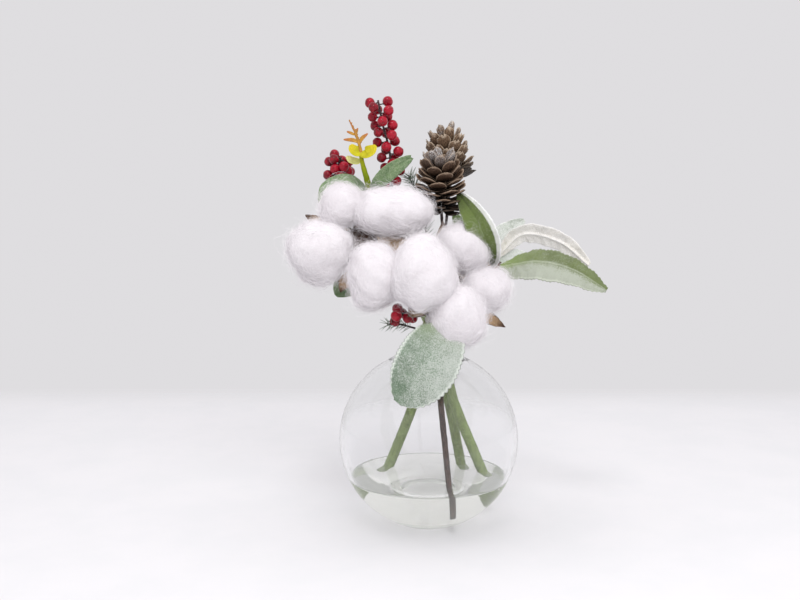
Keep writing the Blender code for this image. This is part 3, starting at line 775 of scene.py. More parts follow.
@once
def woolly_finish(name, green, under, nap, cover, rims, midrib, deep):
    """A felted leaf: a pale nap stippled over green.

    cover is how much nap lies on each half and where that changes across the leaf, rims how white each edge
    is, and deep is the colour of the greener end near the stem.
    """
    material, wires, shader = new_material(name)
    where = wires.where()
    across, along, below = wires.place()
    drift = wires.group(shared("Mottle"), Where=where, Patch=9.0, First=green, Second=shade(green, 0.8))
    grown = wires.mix(wires.between(along, 0.02, 0.5, 0.9, 0.0), drift["Color"], deep)
    sides = wires.mix(below, grown, under)
    half = wires.between(across, cover[2], cover[3], cover[0], cover[1])
    bare_foot = wires.between(along, 0.0, 0.4, -0.3, 0.0)
    thinner = wires.calc("ADD", bare_foot, wires.between(along, 0.6, 1.0, 0.0, -0.2))
    amount = wires.calc("ADD", half, wires.calc("ADD", thinner, wires.calc("MULTIPLY", below, 0.25)))
    napped = wires.group(shared("Felt Nap"), Where=where, Hair=0.55, Base=sides, Nap=nap, Amount=amount)
    lines = wires.between(wires.calc("ABSOLUTE", across), 0.02, 0.08, midrib, 0.0)
    first = wires.between(across, -0.96, -0.86, rims[0], 0.0)
    second = wires.between(across, 0.86, 0.96, 0.0, rims[1])
    pale = wires.calc("MAXIMUM", lines, wires.calc("MAXIMUM", first, second))
    bloom = tuple(min(1.45 * c, 0.84) for c in nap)
    wires.put(shader.inputs["Base Color"], wires.mix(pale, napped["Color"], bloom))
    shader.inputs["Roughness"].default_value = 0.92
    shader.inputs["Specular IOR Level"].default_value = 0.2
    shader.inputs["Sheen Weight"].default_value = 0.08
    shader.inputs["Sheen Roughness"].default_value = 0.5
    wires.put(shader.inputs["Normal"], wires.bump(napped["Height"], 0.5))
    return material


@once
def frosted_finish():
    material, wires, shader = new_material("frosted_sage_leaf")
    where = wires.where()
    across, _, below = wires.place()
    greens = wires.group(
        shared("Mottle"), Where=where, Patch=6.0, First=(0.09, 0.165, 0.065), Second=(0.16, 0.25, 0.11)
    )
    sides = wires.mix(below, greens["Color"], (0.3, 0.38, 0.28))
    frost = wires.group(
        shared("Frost"), Where=where, Speck=1.0, Base=sides, Frost=(0.36, 0.42, 0.28), Amount=0.62
    )
    rim = wires.between(wires.calc("ABSOLUTE", across), 0.9, 1.0, 0.0, 0.55)
    wires.put(shader.inputs["Base Color"], wires.mix(rim, frost["Color"], (0.42, 0.48, 0.34)))
    shader.inputs["Roughness"].default_value = 0.7
    wires.put(shader.inputs["Normal"], wires.bump(frost["Height"], 0.35))
    return material


@once
def shoot_finish(name, fresh, deep):
    """Waxy young growth, deeper in colour towards its tip."""
    material, wires, shader = new_material(name)
    along = wires.place()[1]
    where = wires.where()
    patches = wires.group(shared("Mottle"), Where=where, Patch=3.0, First=fresh, Second=shade(fresh, 0.78))
    tip = wires.between(along, 0.35, 1.0)
    grain = wires.group(
        shared("Woody Grain"), Where=where, Fine=0.9, Dark=shade(deep, 0.8), Light=shade(deep, 1.15)
    )
    wires.put(shader.inputs["Base Color"], wires.mix(tip, patches["Color"], grain["Color"]))
    shader.inputs["Roughness"].default_value = 0.45
    shader.inputs["Specular IOR Level"].default_value = 0.25
    shader.inputs["Subsurface Weight"].default_value = 0.25
    shader.inputs["Subsurface Radius"].default_value = (0.0012, 0.0012, 0.0004)
    shader.inputs["Subsurface Scale"].default_value = 1.0
    wires.put(shader.inputs["Normal"], wires.bump(grain["Height"], 0.2))
    return material


# --- Vase and water -------------------------------------------------------------------------------


def arc(radius, centre_z, start_deg, end_deg, count):
    angle = np.radians(np.linspace(start_deg, end_deg, count))
    return np.stack([radius * np.cos(angle), centre_z + radius * np.sin(angle)], axis=-1)


def turned(gather, profile, steps, knurl=(0.0, 0.0)):
    """A body turned about Z from (radius, height) points, whose ends lie on the axis.

    knurl is the radius of a toothed ring on its underside and how deep the teeth are.
    """
    profile = np.asarray(profile, float)
    angle = np.arange(steps) * 2 * math.pi / steps
    radius, height = np.maximum(profile[:, 0], 0.02)[:, None], profile[:, 1][:, None]
    ring, depth = knurl
    under = (height < TEETH_BELOW) * np.exp(-(((radius - ring) / TEETH_WIDTH) ** 2))
    teeth = depth * under * (0.5 + 0.5 * np.cos(FOOT_TEETH * angle))
    grid = stack(radius * np.cos(angle), radius * np.sin(angle), height + teeth)
    gather.rows(grid, stack(0.0, height / 100 + 0 * angle, 0.5))


def vase_sizes():
    vase = bpy.context.scene.cotton_bunch.vase
    radius, wall, foot, mouth = (TO_MM * v for v in (vase.radius, vase.wall, vase.foot, vase.mouth))
    return radius, wall, foot, mouth, math.sqrt(radius**2 - foot**2)


def level(radius, centre_z, height):
    """Angle up from level where a sphere of this radius reaches this height."""
    return math.degrees(math.asin((height - centre_z) / radius))


def make_vase():
    radius, wall, foot, mouth, centre = vase_sizes()
    inside = radius - wall
    mouth_z = centre + math.sqrt(inside**2 - mouth**2)
    across, up = mouth + 0.9, mouth_z + 0.8
    turn = np.radians(np.linspace(-10, 215, 16))
    lip = [(across + LIP_BEAD * math.cos(a), up + LIP_BEAD * math.sin(a)) for a in turn]
    hollow = [(0, 1.5), (8, 1.45), (13, 1.3), (15.4, 1.0), (16.4, 0.5), (17.2, 0.1)]
    punt = [*hollow, (18.2, 0.0), (19.2, 0.0), (foot, 0.0)]
    low = arc(radius, centre, level(radius, centre, 0.02), level(radius, centre, 4.0), 16)
    high = arc(radius, centre, level(radius, centre, 4.0), level(radius, centre, mouth_z + 0.2), 52)
    outer = [*low[:-1], *high]
    inner = arc(
        inside, centre, level(inside, centre, mouth_z - 1.2), level(inside, centre, GLASS_FLOOR + 1.0), 52
    )
    base = [
        (foot + 3.2, GLASS_FLOOR + 0.35), (foot + 1.6, GLASS_FLOOR), (10, GLASS_FLOOR - 0.15),
        (0, GLASS_FLOOR - 0.2),
    ]
    gather = Gather()
    turned(gather, [*punt, *outer[1:], *lip, *inner, *base], VASE_STEPS, knurl=(foot + 3.4, 0.45))
    tint = tuple(bpy.context.scene.cotton_bunch.vase.tint)
    # The glass's last value is its faint painted glow.
    glass = clear_finish("clear_blown_glass", tint, GLASS_REFRACTION, (0.95, 0.95, 0.955), 0.03, 30.0, 0.01)
    gather.make("blown_glass_bowl", [glass], "glass_vase")


def make_water():
    """The water, with a second finish where it lies against the glass."""
    radius, wall, foot, _, centre = vase_sizes()
    surface = TO_MM * bpy.context.scene.cotton_bunch.vase.water
    inside = radius - wall + WATER_GAP
    sides = arc(inside, centre, level(inside, centre, 5.6), level(inside, centre, surface + CREEP_HEIGHT), 22)
    edge = sides[-1]
    inward = (0.25, 0.6, 1.1, 1.8, 2.8, 4.5)
    creep = [(edge[0] - d, surface + CREEP_HEIGHT * math.exp(-d / 0.7)) for d in inward]
    sheet = [(r, surface) for r in (36, 24, 12, 0)]
    gather = Gather()
    turned(gather, [(0, 4.72), (10, 4.78), (foot - 1.4, 4.95), *sides, *creep, *sheet], WATER_STEPS)
    below = WATER_STEPS * (3 + len(sides) - 1)
    gather.slots = [1 if n < below else 0 for n in range(len(gather.faces))]
    gather.slots[-2] = 1
    # The top glows faintly as painted light. Against the glass the water has a darker tint, painted as the
    # grey shade seen through it, and a stronger painted glow.
    top = clear_finish(
        "still_water", (0.985, 0.985, 0.97), WATER_REFRACTION, (0.95, 0.95, 0.94), 0.05, 14.0, 0.035
    )
    rest = clear_finish(
        "water_against_glass", (0.83, 0.83, 0.79), WATER_REFRACTION, (0.95, 0.95, 0.94), 0.03, 14.0, 0.075
    )
    gather.make("still_water_body", [top, rest], "water")


# --- Cotton ---------------------------------------------------------------------------------------


def lock_skin(directions, middle, sizes, pinch, seed):
    """Where the lint's surface lies in each direction from a lock's middle."""
    middle, sizes = np.asarray(middle, float), np.asarray(sizes, float)
    drawn_in = 1 - pinch * (directions[..., 2:] + 0.35)
    narrowing = np.concatenate([drawn_in, drawn_in, np.ones_like(drawn_in)], axis=-1)
    shell = middle + directions * sizes * LINT_SHARE * narrowing
    swell = sum(share * lumps(shell, size, seed + shift) for share, size, shift in LINT_SWELLS)
    return middle + (shell - middle) * (1 + swell)[..., None]


def globe(count_down, count_round):
    """Directions over a whole ball, in rows from its top down."""
    fall = np.linspace(0.02, math.pi - 0.02, count_down)[:, None]
    turn = -np.arange(count_round) * 2 * math.pi / count_round
    return stack(np.sin(fall) * np.cos(turn), np.sin(fall) * np.sin(turn), np.cos(fall) + 0 * turn)


def fibre_ribbons(gather, lock, n, fibres, kind):
    """Loose fibres that follow the lint and stray from it, and the way that each of their points faces.

    kind is LYING_FIBRES or STANDING_FIBRES. A standing fibre is broad side on at the outline.
    """
    share, broader, reach, steps, lift, fly, seed, standing = kind
    count, width = int(fibres.fibres * share), TO_MM * fibres.fibre_width * broader
    draw = np.random.default_rng(seed + n)
    middle, sizes, pinch = lock
    start = unit(draw.normal(size=(count, 3)))
    heading = unit(np.cross(start, unit(draw.normal(size=(count, 3)))))
    bend = draw.normal(scale=0.5, size=(count, 1, 1))
    length = draw.uniform(0.35, 1.0, size=(count, 1, 1)) * reach / float(np.mean(sizes))
    s = np.linspace(-0.5, 0.5, steps)[None, :, None]
    turned_side = np.cross(start, heading)[:, None]
    way = unit(start[:, None] + heading[:, None] * s * length + turned_side * bend * (s * length) ** 2 * 3)
    skin = lock_skin(way, middle, sizes, pinch, SKIN_SEED + n)
    outward = unit(way / np.asarray(sizes, float))
    stand = draw.exponential(lift, size=(count, 1)) - 0.5 * lift
    stray = draw.exponential(fly, size=(count, 1)) * np.clip(s[..., 0] + 0.5, 0, 1) ** 2
    turns = draw.uniform(5, 16, size=(count, 1))
    wriggle = 0.35 * np.sin(s[..., 0] * turns + draw.uniform(0, 6, size=(count, 1)))
    path = skin + outward * np.minimum(stand + stray + wriggle, HIGHEST_FIBRE)[..., None]
    tangent = unit(np.gradient(path, axis=1))
    roll = draw.normal(scale=0.1, size=(count, 1, 1)) + (math.pi / 2 if standing else 0.0)
    flat = unit(unit(np.cross(outward, tangent)) * np.cos(roll) + outward * np.sin(roll))
    taper = np.sin(math.pi * np.clip(np.linspace(0.12, 0.97, steps), 0, 1))[None, :, None] ** 0.5
    half = flat * taper * width * draw.uniform(0.6, 1.2, size=(count, 1, 1)) / 2
    grid = np.stack([path - half, path + half], axis=2).reshape(-1, 3)
    k = np.arange(steps - 1) * 2
    strip = np.stack([k, k + 2, k + 3, k + 1], axis=-1)
    faces = (np.arange(count)[:, None, None] * steps * 2 + strip[None]).reshape(-1, 4)
    gather.add(grid, faces, slot=1)
    facing = unit(np.cross(tangent, flat)) if standing else outward
    return np.repeat(facing, 2, axis=1).reshape(-1, 3)


def make_cotton():
    """Each lock: a lumpy body under loose fibres. The body keeps its own normals, where zeros are given."""
    cotton = bpy.context.scene.cotton_bunch.cotton
    for n, (name, lock) in enumerate(LOCKS.items()):
        gather = Gather()
        around = globe(100, 150)
        gather.rows(lock_skin(around, *lock, SKIN_SEED + n), np.zeros_like(around))
        outward = [np.zeros((around.size // 3, 3))]
        for kind in (LYING_FIBRES, STANDING_FIBRES):
            outward.append(fibre_ribbons(gather, lock, n, cotton, kind))
        finishes = [cotton_finish("packed_cotton_lint", False), cotton_finish("loose_cotton_fibre", True)]
        piece = gather.make(f"cotton_lint_{name}", finishes, f"cotton_lock_{name}")
        piece.data.normals_split_custom_set_from_vertices(np.concatenate(outward).tolist())


# --- Burs -----------------------------------------------------------------------------------------


def head_axes(centre, facing):
    """A boll's own frame as rows: level across, up over the face, and the way it faces."""
    facing = unit(facing)
    across = unit(np.cross((0, 0, 1), facing))
    return np.asarray(centre, float), np.stack([across, np.cross(facing, across), facing])


def make_bur(side, head, valves):
    centre, axes = head_axes(*head)
    gather = Gather()
    cup = [
        (0, -11.0), (2.2, -11.0), (3.0, -10.6), (4.4, -9.1), (6.6, -7.2), (8.6, -5.4), (10.4, -3.2),
        (11.0, -1.6), (10.2, -0.3), (0, -0.2),
    ]
    angle = np.arange(40) * 2 * math.pi / 40
    cup = np.asarray(cup, float)
    reach = np.maximum(cup[:, 0], 0.02)[:, None] * (1 + 0.05 * np.cos(5 * angle))[None, :]
    grid = stack(reach * np.cos(angle), reach * np.sin(angle), cup[:, 1][:, None] + 0 * angle) @ axes + centre
    gather.rows(grid, stack(0.0, 0.3, 1.0 + 0 * reach))
    for n, (turn_deg, tip) in enumerate(valves):
        turn = math.radians(turn_deg)
        t = np.linspace(0, 1, 34)
        width = 6.4 * np.sin(math.pi * (0.3 + 0.695 * t**1.5)) ** 0.95 + 0.06
        drop = -0.3 - 1.9 * np.sin(math.pi * t) + 1.6 * smoothly((t - 0.72) / 0.28)
        run = 4.0 + (tip - 4.0) * t
        y = np.linspace(-1, 1, 15)
        ring = np.concatenate([y, y[-2:0:-1]])
        back = np.concatenate([np.zeros(15), np.ones(13)])
        thick = 0.9 * (1 - 0.75 * t) + 0.12
        hollow = 1.5 * (ring**2)[None, :] * (width / 6.0)[:, None] - 1.1 * (width / 6.0)[:, None]
        keel = 0.5 * np.exp(-((ring / 0.12) ** 2))[None, :] * back[None, :]
        under = back[None, :] * thick[:, None] * np.sqrt(1 - np.abs(ring) ** 4)[None, :]
        z = drop[:, None] + hollow - under - keel
        local = stack(run[:, None] + 0 * ring, width[:, None] * ring, z)
        local = local + 0.12 * lumps(local, 3.0, 60 + n)[..., None] * np.array([0, 1, 1])
        spin = np.array(
            [[math.cos(turn), math.sin(turn), 0], [-math.sin(turn), math.cos(turn), 0], [0, 0, 1]]
        )
        gather.rows(local @ spin @ axes + centre, stack(ring[None, :], t[:, None], back[None, :]))
    gather.make(f"dry_bur_{side}", [bur_finish()], f"cotton_bur_{side}")


# --- Stems ----------------------------------------------------------------------------------------


def make_stems():
    bark, green = bark_finish(), green_stem_finish()

    trunk = Gather()
    tube(trunk, TRUNK, (1.75, 1.9, 1.7, 1.8), 90, 20, rough=0.05, seed=3)
    for share, turn in ((0.1, 0.6), (0.38, 2.2), (0.63, 4.4)):
        here = curve(TRUNK, 2, share, share + 0.012)
        out = np.array([math.cos(turn), math.sin(turn), 0.35])
        knot = [here[0] + out * 0.8, here[0] + out * 1.7, here[0] + out * 2.1 + (0, 0, 0.5)]
        tube(trunk, knot, (1.0, 0.85, 0.3), 8, 10, rough=0.1)
    trunk.make("cotton_trunk_bark", [bark], "cotton_stem_trunk")

    for name, node, route, radii, count in (
        ("felted_stem_front", "lambs_ear_stem_front", FRONT_STEM, (3.25, 3.0, 2.9, 2.2), 70),
        ("felted_stem_right", "lambs_ear_stem_right", RIGHT_STEM, (3.2, 3.0, 2.9, 2.4), 80),
        ("sprig_stem", "frosted_sprig_stem", SPRIG_STEM, (3.2, 2.9, 2.2, 1.6), 110),
    ):
        stem = Gather()
        tube(stem, route, radii, count, 22, rough=0.02, seed=len(name))
        stem.make(name, [green], node)

    left_foot = np.asarray(LEFT_HEAD[0]) - unit(LEFT_HEAD[1]) * CUP_DEPTH
    left = [(1.5, 8, 142), (-8, 9.5, 149), (-28, 13, 160), left_foot - unit(LEFT_HEAD[1]) * 4, left_foot]
    right_foot = np.asarray(RIGHT_HEAD[0]) - unit(RIGHT_HEAD[1]) * CUP_DEPTH
    right = [(2.2, 5, 127), (3.6, 3.2, 135), right_foot - unit(RIGHT_HEAD[1]) * 2.5, right_foot]
    for side, route in (("left", left), ("right", right)):
        branch = Gather()
        tube(branch, route, (1.7, 1.5, 1.6, 2.0), 36, 14, rough=0.06, seed=8)
        branch.make(f"cotton_side_branch_{side}", [bark], f"cotton_branch_{side}")


# --- Berries --------------------------------------------------------------------------------------


def berry_places(route, count, first, spread, flare):
    """Foot on the twig, middle and outward way of each berry, a golden angle round the twig from the last."""
    for k in range(count):
        t = first + (1.0 - first) * k / (count - 1)
        before, here, after = curve(route, 3, max(t - 0.02, 0.0), min(t + 0.02, 1.0))
        along = unit(after - before)
        side = unit(np.cross(along, (0, 1, 0)))
        turn = k * GOLDEN_TURN
        out = math.cos(turn) * side + math.sin(turn) * np.cross(along, side)
        reach = spread * (1.0 + 0.16 * math.sin(5.0 * k)) * (1.0 + (flare - 1.0) * k / (count - 1))
        yield here, here + reach * out, unit(out + 0.35 * along), along


def make_spray(name, node, route, foot, count, first, spread, flare):
    radius = TO_MM * bpy.context.scene.cotton_bunch.plants.berry_radius
    gather = Gather()
    tube(gather, list(foot) + list(route), (0.95, 0.9, 0.8, 0.62), 70, 10, slot=1, rough=0.1, seed=5)
    for n, (here, middle, way, along) in enumerate(berry_places(route, count, first, spread, flare)):
        bend = (here + middle) / 2 - along * 0.9
        tube(gather, [here - along * 0.8, bend, middle], (0.5, 0.38, 0.42), 8, 7, slot=1, rough=0.12, seed=n)
        collar = middle - way * radius * 0.86
        ball(gather, collar, 0.75, -way, 7, 8, 0.2, slot=1)
        ball(gather, middle, radius * (1.0 + 0.04 * math.sin(2.3 * n)), way, 17, 26, (n * 0.37) % 1.0, 0.16)
    gather.make(name, [berry_finish(), twig_finish()], node)


def make_berries():
    tall = bound_to_trunk(112, 0.985)[::-1] + [(-3, 16, 158), (-13, 19, 176)]
    make_spray("tall_spray_of_berries", "berry_spray_tall", TALL_SPRAY, tall, 27, 0.22, 4.3, 1.55)
    short = bound_to_trunk(160, 0.94)[::-1] + [(-9, 29.5, 152), (-29, 34, 173)]
    make_spray("short_spray_of_berries", "berry_spray_short", SHORT_SPRAY, short, 19, 0.36, 6.6, 0.85)
    low = bound_to_trunk(215, 0.82)[::-1]
    make_spray("low_spray_of_berries", "berry_spray_low", LOW_SPRAY, low, 7, 0.3, 3.4, 1.1)


# --- Needles --------------------------------------------------------------------------------------


def make_needle_sprig(name, node, route, first, count, length, lean, seed):
    draw = np.random.default_rng(seed)
    gather = Gather()
    tube(gather, route, (0.8, 0.7, 0.55, 0.4), 40, 8, slot=1, rough=0.1)
    for k in range(count):
        t = first + (0.995 - first) * k / (count - 1)
        before, here, after = curve(route, 3, max(t - 0.03, 0.0), min(t + 0.03, 1.0))
        along = unit(after - before)
        side = unit(np.cross(along, (0, 1, 0)))
        turn = k * GOLDEN_TURN
        out = math.cos(turn) * side + math.sin(turn) * np.cross(along, side)
        way = unit(out + (lean + draw.uniform(-0.25, 0.3)) * along)
        far = here + way * length * draw.uniform(0.75, 1.08)
        bend = (here + far) / 2 + along * draw.uniform(0.1, 0.6)
        tube(
            gather, [here, bend, far], (0.15, 0.2, 0.06), 6, 5, tone=draw.uniform(0, 1),
            facing=draw.normal(size=3),
        )
    gather.make(name, [needle_finish(), twig_finish()], node)


def make_needles():
    upper = bound_to_trunk(95, 0.9)[::-1] + [
        (0, 19, 151), (-0.6, 22, 163), (-2, 21, 184), (-6, 20, 199), (-12.4, 20, 212.6)
    ]
    make_needle_sprig("upper_needle_sprig", "pine_needle_sprig_upper", upper, 0.56, 190, 8.6, 0.9, 11)
    low = bound_to_trunk(190, 0.7)[::-1] + [(-8, -7, 121), (-16, -15, 124.2), (-25, -24, 126)]
    make_needle_sprig("low_needle_sprig", "pine_needle_sprig_low", low, 0.6, 44, 7.4, 1.2, 12)


# --- Pine cones -----------------------------------------------------------------------------------


def cone_axes(base, tip):
    base, tip = np.asarray(base, float), np.asarray(tip, float)
    along = unit(tip - base)
    across = unit(np.cross(along, (0, 1, 0)))
    return base, along, across, np.cross(along, across), float(np.linalg.norm(tip - base))


def scale_shape(
    gather, foot, out, along, length, width, start_deg, end_deg, dome, thick, snow_and_painted_shade, ragged, seed
):
    """One woody scale: it leaves the core, spreads, and its rounded lip turns up."""
    u = np.linspace(0, 1, 13)
    angle = np.radians(start_deg + (end_deg - start_deg) * u**1.3)
    step = length / (len(u) - 1)
    reach = np.concatenate([[0], np.cumsum(np.cos(angle[1:]) * step)])
    rise = np.concatenate([[0], np.cumsum(np.sin(angle[1:]) * step)])
    square = 2 + 4 * ragged
    tip = np.sqrt(np.maximum(1 - (np.maximum(u - 0.72, 0) / 0.285) ** square, 0.0))
    spread = width * np.where(u < 0.72, 0.42 + 0.58 * smoothly(u / 0.72), tip)
    y = np.linspace(-1, 1, 11)
    ring = np.concatenate([y, y[-2:0:-1]])
    below = np.concatenate([np.zeros(11), np.ones(9)])
    closing = np.sqrt(np.maximum(1 - (np.maximum(u - 0.8, 0) / 0.21) ** 2, 0.05))
    body = thick * (0.55 + 0.6 * smoothly(u / 0.8)) * closing
    side = np.cross(along, out)
    normal_x, normal_z = -np.sin(angle), np.cos(angle)
    lift = -dome * (ring**2)[None, :] * spread[:, None] * u[:, None]
    ribs = 0.08 + 0.16 * ragged
    ribbed = ribs * np.cos(ring * 9.0 + seed)[None, :] * smoothly(u / 0.6)[:, None]
    lift = lift + ribbed * (below < 0.5)[None, :]
    half_body = np.where(below > 0.5, -1, 1)[None, :] * body[:, None] / 2
    lift = lift + half_body * np.sqrt(1 - np.abs(ring) ** 6)[None, :]
    lift = lift + 0.18 * lumps(stack(u[:, None] * 9 + seed, ring[None, :] * 4, 0.0), 3.0, seed)
    frayed = ragged * (0.9 * np.sin(ring * 5.0 + 2.3 * seed) + 0.6 * np.sin(ring * 11.0 + seed))[None, :]
    frayed = frayed * smoothly((u - 0.55) / 0.45)[:, None]
    along_part = rise[:, None] + lift * normal_z[:, None] + frayed * np.sin(angle)[:, None]
    out_part = reach[:, None] + lift * normal_x[:, None] + frayed * np.cos(angle)[:, None]
    grid = (
        foot
        + out_part[..., None] * out
        + along_part[..., None] * along
        + (spread[:, None] * ring[None, :])[..., None] * side
    )
    gather.rows(grid, stack(ring[None, :], u[:, None], snow_and_painted_shade))


def make_cone(name, node, cone, rows, widest, openness, dome, thick, finish, ragged):
    base, along, across, other, height = cone_axes(*cone[:2])
    largest = cone[2]
    draw = np.random.default_rng(len(name))
    gather = Gather()
    core = [base + along * 1.0, base + along * height * 0.5, base + along * (height - 2.0)]
    tube(gather, core, (2.0, 3.6, 1.2), 16, 12, tone=0.0)
    for k in range(rows):
        t = k / (rows - 1)
        turn = k * GOLDEN_TURN
        out = math.cos(turn) * across + math.sin(turn) * other
        swell = math.sin(math.pi * (0.2 + (0.72 - 0.2 * ragged) * t)) ** 0.75
        taper = (1.4 - 0.9 * ragged) * max(t - 0.78, 0.0)
        reach = largest * (0.4 + 0.62 * swell) * (1.0 - taper)
        start = openness[0] + (openness[1] - openness[0]) * t**1.4 + draw.uniform(-4, 4)
        end = openness[2] + (openness[3] - openness[2]) * t**1.2 + draw.uniform(-6, 6)
        mean = math.radians((start + end) / 2)
        length = min(reach / max(math.cos(mean), 0.5), 16.0) * draw.uniform(0.95, 1.03)
        foot = base + along * (1.2 + (height - 9.5) * t**1.05) + out * 0.8
        width = (widest if t < 0.7 else widest * (1 - 1.6 * (t - 0.7))) * draw.uniform(0.9, 1.08)
        # Snow on the top rows, and below 0 painted shade on the lower rows.
        snow_and_painted_shade = float(smoothly((t - 0.82) / 0.18)) - float(smoothly((0.45 - t) / 0.45))
        scale_shape(gather, foot, out, along, length, width, start, end, dome, thick, snow_and_painted_shade, ragged, k)
    gather.make(name, [finish], node)


def make_cones():
    lower = cone_finish("dark_cone_scale", (0.03, 0.016, 0.01), (0.15, 0.088, 0.055), (0.34, 0.25, 0.18), 0.7)
    upper = cone_finish("tan_cone_scale", (0.06, 0.034, 0.02), (0.27, 0.175, 0.108), (0.52, 0.42, 0.32), 0.5)
    make_cone(
        "lower_pine_cone", "pine_cone_lower", LOWER_CONE, 60, 5.3, (-16, 48, 8, 72), 0.1, 1.0, lower, 0.25
    )
    make_cone(
        "upper_pine_cone", "pine_cone_upper", UPPER_CONE, 50, 4.4, (0, 50, 26, 68), -0.05, 0.9, upper, 1.0
    )
    feet = {
        "lower": [LOWER_CONE[0], (8.2, 12.4, 178), (6.6, 12.6, 162)] + bound_to_trunk(20, 0.97),
        "upper": [UPPER_CONE[0], (12.4, 25.5, 194), (9, 20, 168)] + bound_to_trunk(68, 0.99),
    }
    for which, route in feet.items():
        wire = Gather()
        tube(wire, route, (0.95, 0.85, 0.85, 0.9), 60, 10, rough=0.12, seed=21)
        wire.make(f"cone_wire_{which}", [twig_finish()], f"pine_cone_wire_{which}")


# --- Woolly leaves --------------------------------------------------------------------------------

PALE_SAGE, FRESH = (0.48, 0.52, 0.44), (0.2, 0.3, 0.1)
CREAM, SILVER, WHITE_NAP = (0.66, 0.63, 0.57), (0.54, 0.57, 0.52), (0.78, 0.79, 0.77)


def woolly_rows():
    """Stem, share of it, route, half width, facing, petiole, widest, fold, finish and the blade's options."""
    return {
        "front": (
            FRONT_STEM, 0.985,
            [(5.5, -33, 129.5), (4.6, -42, 120), (-2.4, -49, 106.4), (-10.8, -51.5, 94.6), (-19, -52.5, 85.2)],
            18.4, (0.1, -1, 0.3), 0.12, 0.54, -0.1,
            ((0.14, 0.205, 0.135), PALE_SAGE, (0.46, 0.49, 0.45), (0.68, 0.42, -0.8, 0.6), (0.75, 0.9), 0.05,
             (0.28, 0.345, 0.19)),
            {"scallop": (1.0, 2.7), "rib": 0.25, "blunt": 0.57},
        ),
        "right": (
            RIGHT_STEM, 0.967, [(48.5, 9, 157.5), (66, -2, 161), (86, -7, 156.5), (106, -10, 144.5)],
            13, (0.1, -0.75, 0.75), 0.14, 0.46, -0.2,
            ((0.145, 0.18, 0.075), PALE_SAGE, (0.37, 0.395, 0.33), (0.22, 0.92, -0.2, 0.5), (0.3, 0.8), 0.3,
             (0.25, 0.33, 0.12)),
            {"scallop": (0.9, 2.5), "blunt": 0.58},
        ),
        "arching": (
            RIGHT_STEM, 0.967, [(47, 23, 166.5), (60, 21, 177), (82, 19, 172), (100, 16, 157.5)],
            7.2, (0.0, -0.8, -0.5), 0.14, 0.55, 0.12,
            (CREAM, CREAM, (0.84, 0.825, 0.8), (0.6, 0.7, -0.7, 0.6), (0.3, 0.5), 0.3, (0.66, 0.63, 0.56)),
            {"scallop": (0.3, 2.2), "rib": -1.5, "veins": (-0.3, 6.0), "blunt": 0.6},
        ),
        "back": (
            RIGHT_STEM, 0.94, [(37.5, 27, 163), (46.5, 31, 174), (61, 32, 184.5)],
            7, (0, -0.9, 0.4), 0.32, 0.5, 0.2,
            ((0.42, 0.47, 0.4), PALE_SAGE, (0.68, 0.7, 0.67), (0.6, 0.75, -0.7, 0.6), (0.5, 0.5), 0.2,
             (0.35, 0.42, 0.3)),
            {"scallop": (0.3, 2.0)},
        ),
        "low": (
            RIGHT_STEM, 0.925, [(45, 28, 157), (55, 30, 161), (65, 28, 159.5)],
            7, (0, -0.8, 0.6), 0.3, 0.5, -0.2,
            ((0.45, 0.51, 0.42), PALE_SAGE, (0.68, 0.7, 0.67), (0.7, 0.8, -0.7, 0.6), (0.6, 0.6), 0.2,
             (0.4, 0.48, 0.35)),
            {"scallop": (0.3, 2.0)},
        ),
        "upright": (
            RIGHT_STEM, 0.967, [(36.4, -3, 165.6), (32.2, -13, 178.0), (25.4, -10, 190.4), (17.8, 6, 201.4)],
            9.0, (-0.35, -0.9, 0.1), 0.05, 0.45, 0.3,
            ((0.125, 0.17, 0.05), WHITE_NAP, (0.7, 0.72, 0.67), (0.06, 1.2, 0.56, 0.74), (0.2, 0.9), 0.0,
             (0.11, 0.16, 0.045)),
            {"scallop": (0.4, 2.4), "rib": 0.4, "veins": (0.05, 5.0), "blunt": 0.66},
        ),
        "small": (
            RIGHT_STEM, 0.755, [(24.6, 24, 160), (21, 24, 178), (16, 21.5, 189)],
            4.2, (0, -1, 0.2), 0.5, 0.5, 0.2,
            (FRESH, PALE_SAGE, SILVER, (0.2, 0.3, -0.7, 0.6), (0.5, 0.5), 0.2, (0.12, 0.18, 0.06)),
            {"scallop": (0.2, 2.0)},
        ),
    }


def make_woolly_leaves():
    for n, (name, row) in enumerate(woolly_rows().items()):
        stem, share, route, half_width, facing, petiole, widest, fold, colours, options = row
        finish = woolly_finish(f"woolly_{name}", *colours)
        foot = tuple(curve(stem, 2, share, 1.0)[0])
        gather = Gather()
        blade(gather, [foot] + route, half_width, facing, petiole, widest, fold, 1.1, 1.0, 130, 35,
              seed=20 + n, rough=0.06, **options)
        gather.make(f"felted_leaf_{name}", [finish], f"lambs_ear_leaf_{name}")


# --- Frosted leaves and the young shoot -----------------------------------------------------------


